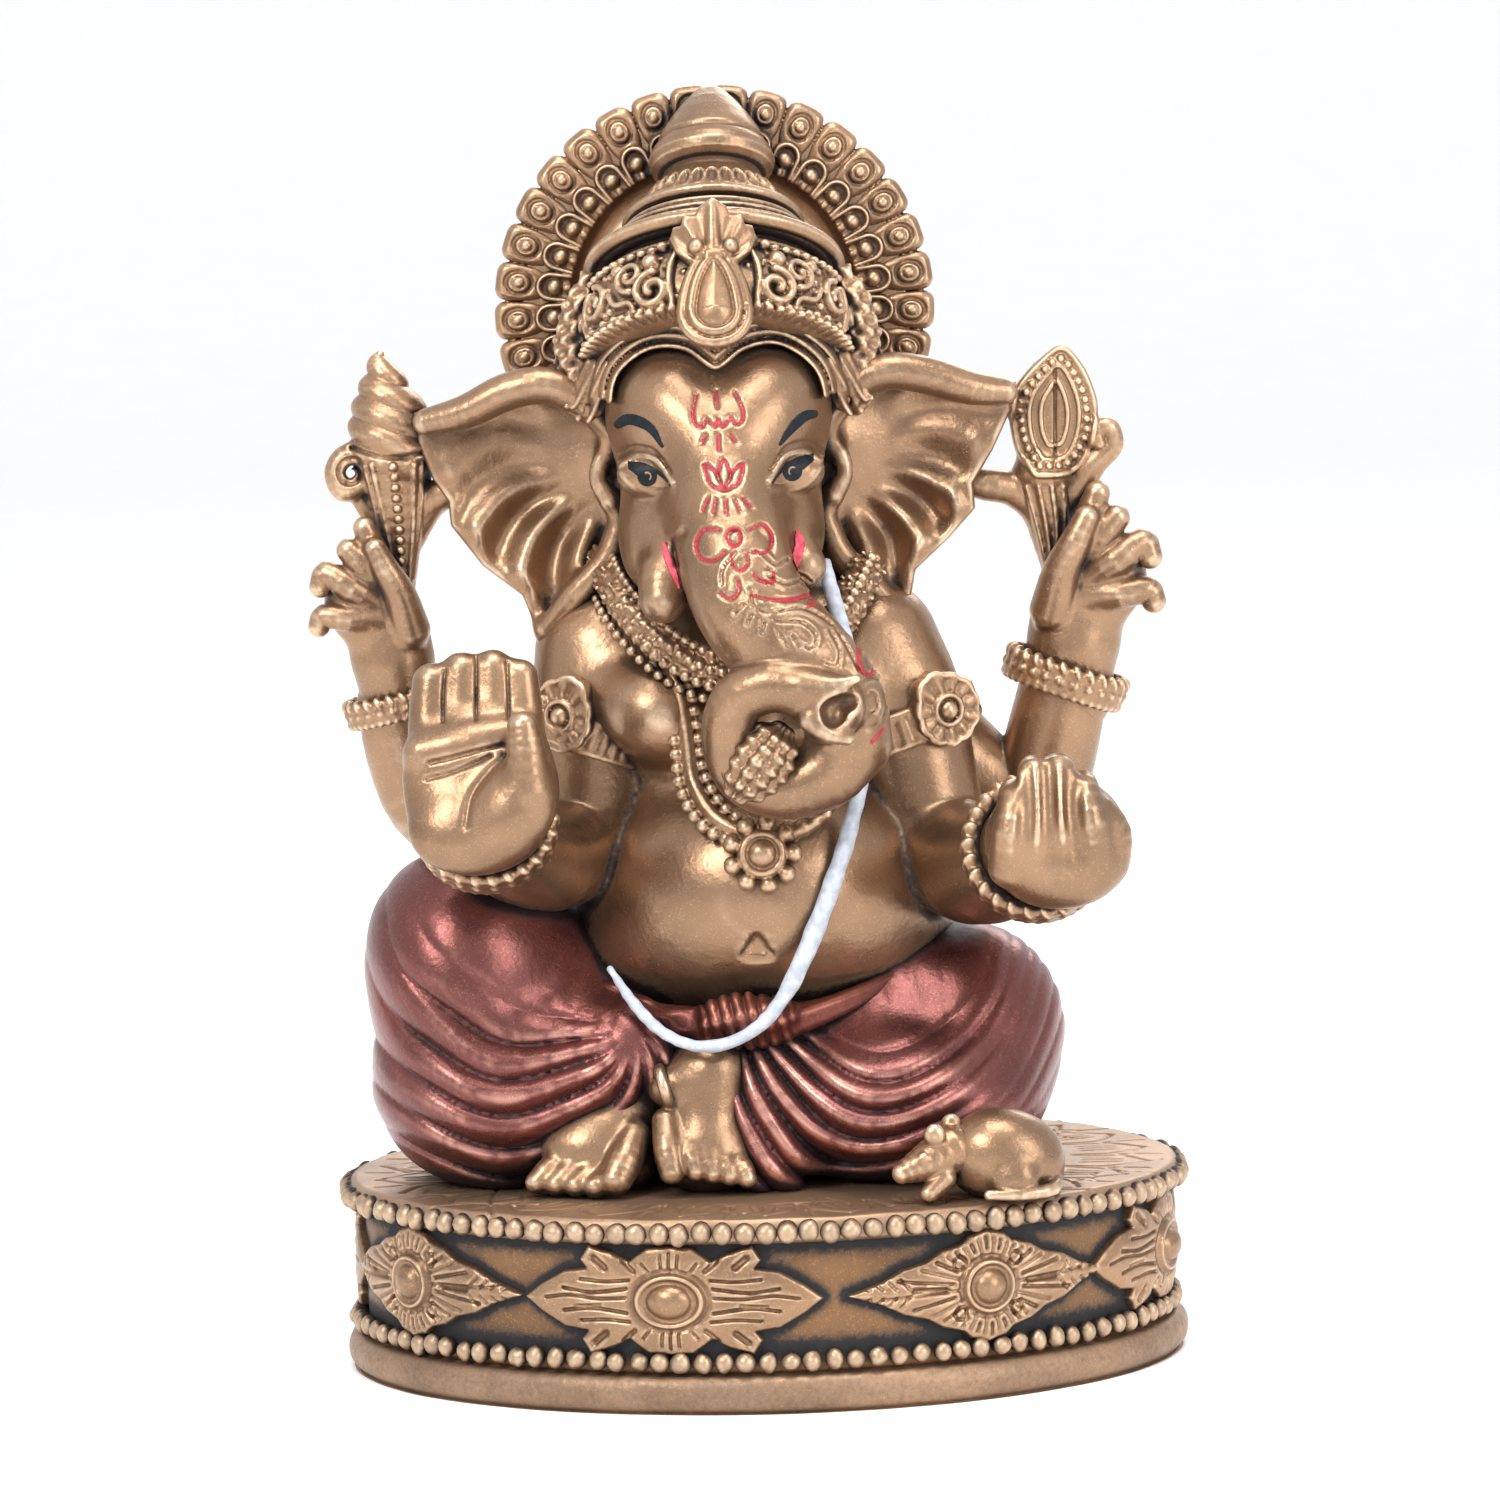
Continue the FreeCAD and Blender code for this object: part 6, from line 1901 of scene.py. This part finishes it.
def metal_paint(name, base, light, dark, wash_shade_strength=1.0, rough=0.42, metal=0.8, flake=0.5):
    """Metallic paint with a dark wash and painted shade in the hollows, rubbed edges lightened with a
    painted highlight, and fine flake.
    """
    n = Nodes(name)
    wash_and_shade, edge = n.attribute("wash_and_shade"), n.attribute("edge")
    cloud, patch, grit = n.noise(70, 3), n.noise(420, 4), n.noise(2600, 2)
    flakes = n.cells(7000)
    tone = n.mix(n.remap(cloud, 0.3, 0.7), linear(tuple(0.90 * c for c in base)),
                 linear(tuple(min(255, 1.07 * c) for c in base)))
    # Rubbed edges and ridges turn towards the light colour: rubbing plus a painted highlight.
    tone = n.mix(n.math("MULTIPLY", n.remap(edge, 0.05, 0.55), 0.75), tone, linear(light))
    # The hollows turn towards the dark colour: antique wash plus painted shade.
    hollow = n.math("ADD", n.math("MULTIPLY", wash_and_shade, wash_shade_strength),
                    n.math("MULTIPLY", n.math("SUBTRACT", patch, 0.5), 0.28))
    crumbs = n.math("MULTIPLY", n.math("SUBTRACT", n.noise(1700, 2), 0.5), n.math("MULTIPLY", wash_and_shade, 1.3))
    hollow = n.math("ADD", hollow, crumbs)
    depth = n.remap(hollow, 0.10, 0.85)
    tone = n.mix(depth, tone, linear(dark))
    spark = n.remap(flakes, 0.86, 1.0, 0.0, flake)
    tone = n.mix(n.math("MULTIPLY", spark, n.math("SUBTRACT", 1.0, depth)), tone, linear(light))
    n.link(tone, n.shader.inputs["Base Color"])
    n.link(n.math("SUBTRACT", metal, n.math("MULTIPLY", depth, metal * 0.75)), n.shader.inputs["Metallic"])
    gloss = n.math("ADD", rough, n.math("MULTIPLY", depth, 0.28))
    gloss = n.math("ADD", gloss, n.math("MULTIPLY", n.math("SUBTRACT", patch, 0.5), 0.16))
    n.link(n.math("SUBTRACT", gloss, n.math("MULTIPLY", spark, 0.2)), n.shader.inputs["Roughness"])
    relief = n.math("ADD", n.math("MULTIPLY", grit, 0.5), n.math("MULTIPLY", flakes, 0.3))
    relief = n.math("ADD", relief, n.math("MULTIPLY", n.noise(850, 2), 1.5))
    n.bump(relief, 0.45, 0.00009)
    return n.material


def flat_paint(name, base, dark, light, rough=0.5, shine=0.5):
    """Brushed-on colour, a little uneven."""
    n = Nodes(name)
    patch, fine = n.noise(900, 3), n.noise(2400, 2)
    tone = n.mix(n.remap(patch, 0.35, 0.7), linear(base), linear(light))
    # Hollows darken towards the dark colour: wash and painted shade.
    tone = n.mix(n.remap(n.attribute("wash_and_shade"), 0.25, 0.9, 0.0, 0.7), tone, linear(dark))
    n.link(tone, n.shader.inputs["Base Color"])
    n.link(n.math("ADD", rough, n.math("MULTIPLY", n.math("SUBTRACT", fine, 0.5), 0.2)),
           n.shader.inputs["Roughness"])
    n.shader.inputs["Specular IOR Level"].default_value = shine
    n.bump(fine, 0.35, 0.00006)
    return n.material


METALS = {       # base, rubbed edge and painted highlight, wash and painted shade, how much of these, roughness, metal, flake
    "bronze_skin": ((146, 116, 90), (228, 202, 172), (38, 26, 20), 1.15, 0.31, 0.87, 0.14),
    "gold_relief": ((150, 119, 92), (228, 200, 168), (36, 25, 19), 1.4, 0.33, 0.85, 0.2),
    "plinth_bronze": ((150, 121, 96), (204, 172, 138), (40, 34, 32), 0.75, 0.42, 0.7, 0.2),
    "burgundy_cloth": ((116, 70, 65), (218, 162, 146), (32, 16, 18), 1.4, 0.29, 0.85, 0.12),
    "copper_sash": ((104, 58, 50), (194, 130, 110), (34, 16, 17), 1.25, 0.33, 0.8, 0.12),
    "eye_paint": ((160, 127, 98), (226, 198, 164), (70, 50, 34), 0.5, 0.36, 0.7, 0.1),
}
FLATS = {        # base, dark (wash and painted shade in the hollows), light, roughness, shine
    "white_thread": ((168, 174, 184), (96, 96, 102), (196, 202, 212), 0.5),
    "red_mark": ((150, 16, 36), (86, 10, 20), (176, 34, 54), 0.42),
    "pink_lip": ((176, 38, 60), (110, 20, 34), (206, 76, 92), 0.42),
    "slate_brow": ((16, 20, 24), (10, 12, 14), (28, 34, 40), 0.6, 0.2),
}
LOOKS = {name: metal_paint(name, *values) for name, values in METALS.items()}
LOOKS.update({name: flat_paint(name, *values) for name, values in FLATS.items()})
IRIS_LOOK = flat_paint("iris_paint", (13, 16, 20), (8, 9, 11), (22, 27, 32), 0.35, 0.2)
DRUM_LOOK = metal_paint("recessed_band", (122, 90, 60), (170, 130, 88), (30, 28, 30), 1.5, 0.48, 0.6)
SPECIAL = {"irises": IRIS_LOOK, "plinth_drum": DRUM_LOOK}
for name, obj, _, _ in MADE:
    look = SPECIAL.get(name) or LOOKS[obj["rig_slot"]]
    obj.data.materials.append(look)


# ------------------------------------------------------------------ floor, light, camera

def floor_look():
    n = Nodes("pale_floor")
    grain = n.noise(60, 3)
    n.link(n.mix(grain, linear((246, 246, 246)), linear((249, 249, 249))), n.shader.inputs["Base Color"])
    n.shader.inputs["Roughness"].default_value = 0.9
    return n.material


def bowl(flat=1.6, curve=0.9, height=1.4, count=96):
    """A floor that curves up into a wall all round, so that no horizon shows."""
    bend = np.linspace(0, math.pi / 2, 14)
    wall = [(flat + curve * math.sin(a), curve * (1 - math.cos(a))) for a in bend]
    rows = [(0.001, 0.0), (flat * 0.5, 0.0)] + wall + [(flat + curve, height)]
    a = np.arange(count) / count * 2 * math.pi
    verts = np.vstack([np.c_[r * np.cos(a), r * np.sin(a), np.full(count, z)] for r, z in rows])
    mesh = bpy.data.meshes.new("floor")
    mesh.from_pydata([tuple(v) for v in verts], [], [tuple(map(int, f)) for f in skirt(len(rows), count)])
    mesh.polygons.foreach_set("use_smooth", np.ones(len(mesh.polygons), bool))
    obj = bpy.data.objects.new("floor", mesh)
    bpy.context.collection.objects.link(obj)
    mesh.materials.append(floor_look())
    return obj


bowl()


def softbox(name, place, aim, size, power, colour=(1, 1, 1)):
    light = bpy.data.lights.new(name, "AREA")
    light.shape = "RECTANGLE"
    light.size, light.size_y = size
    light.energy, light.color = power, colour
    obj = bpy.data.objects.new(name, light)
    bpy.context.collection.objects.link(obj)
    obj.location = place
    obj.rotation_euler = (Vector(aim) - Vector(place)).to_track_quat("-Z", "Y").to_euler()
    return obj


TOP = CAD_BOX[1][2]
MIDDLE = (0, 0, TOP * 0.5)
softbox("key", (-0.42, -0.62, 0.62), MIDDLE, (0.30, 0.4), 4.6)
softbox("fill", (0.60, -0.52, 0.34), MIDDLE, (0.35, 0.5), 2.6)
softbox("top", (0.05, -0.22, 0.85), MIDDLE, (0.5, 0.4), 4.6)
softbox("back", (0.15, 0.75, 0.55), MIDDLE, (0.6, 0.4), 3.0)

world = bpy.data.worlds.new("studio")
world.use_nodes = True
world.node_tree.nodes["Background"].inputs["Color"].default_value = (0.97, 0.98, 1.0, 1)
world.node_tree.nodes["Background"].inputs["Strength"].default_value = 1.0
bpy.context.scene.world = world

PITCH, ROLL = math.radians(6.17), math.radians(1.54)
FOCAL, SENSOR = 163.68, 36.0
SHIFT = (-0.0016, -0.0004)
CAMERA_AT = (0, -0.8, 0.1584)
forward = np.array((0, math.cos(PITCH), -math.sin(PITCH)))
right, up = np.array((1.0, 0, 0)), np.array((0, math.sin(PITCH), math.cos(PITCH)))
axis_x = right * math.cos(ROLL) - up * math.sin(ROLL)
axis_y = right * math.sin(ROLL) + up * math.cos(ROLL)
lens = bpy.data.cameras.new("camera")
lens.lens, lens.sensor_width = FOCAL, SENSOR
lens.shift_x, lens.shift_y = SHIFT
lens.clip_start = 0.01
camera = bpy.data.objects.new("camera", lens)
rows = [[axis_x[k], axis_y[k], -forward[k], CAMERA_AT[k]] for k in range(3)]
camera.matrix_world = Matrix(rows + [[0, 0, 0, 1]])
bpy.context.collection.objects.link(camera)
bpy.context.scene.camera = camera
bpy.context.scene.view_settings.view_transform = "Standard"
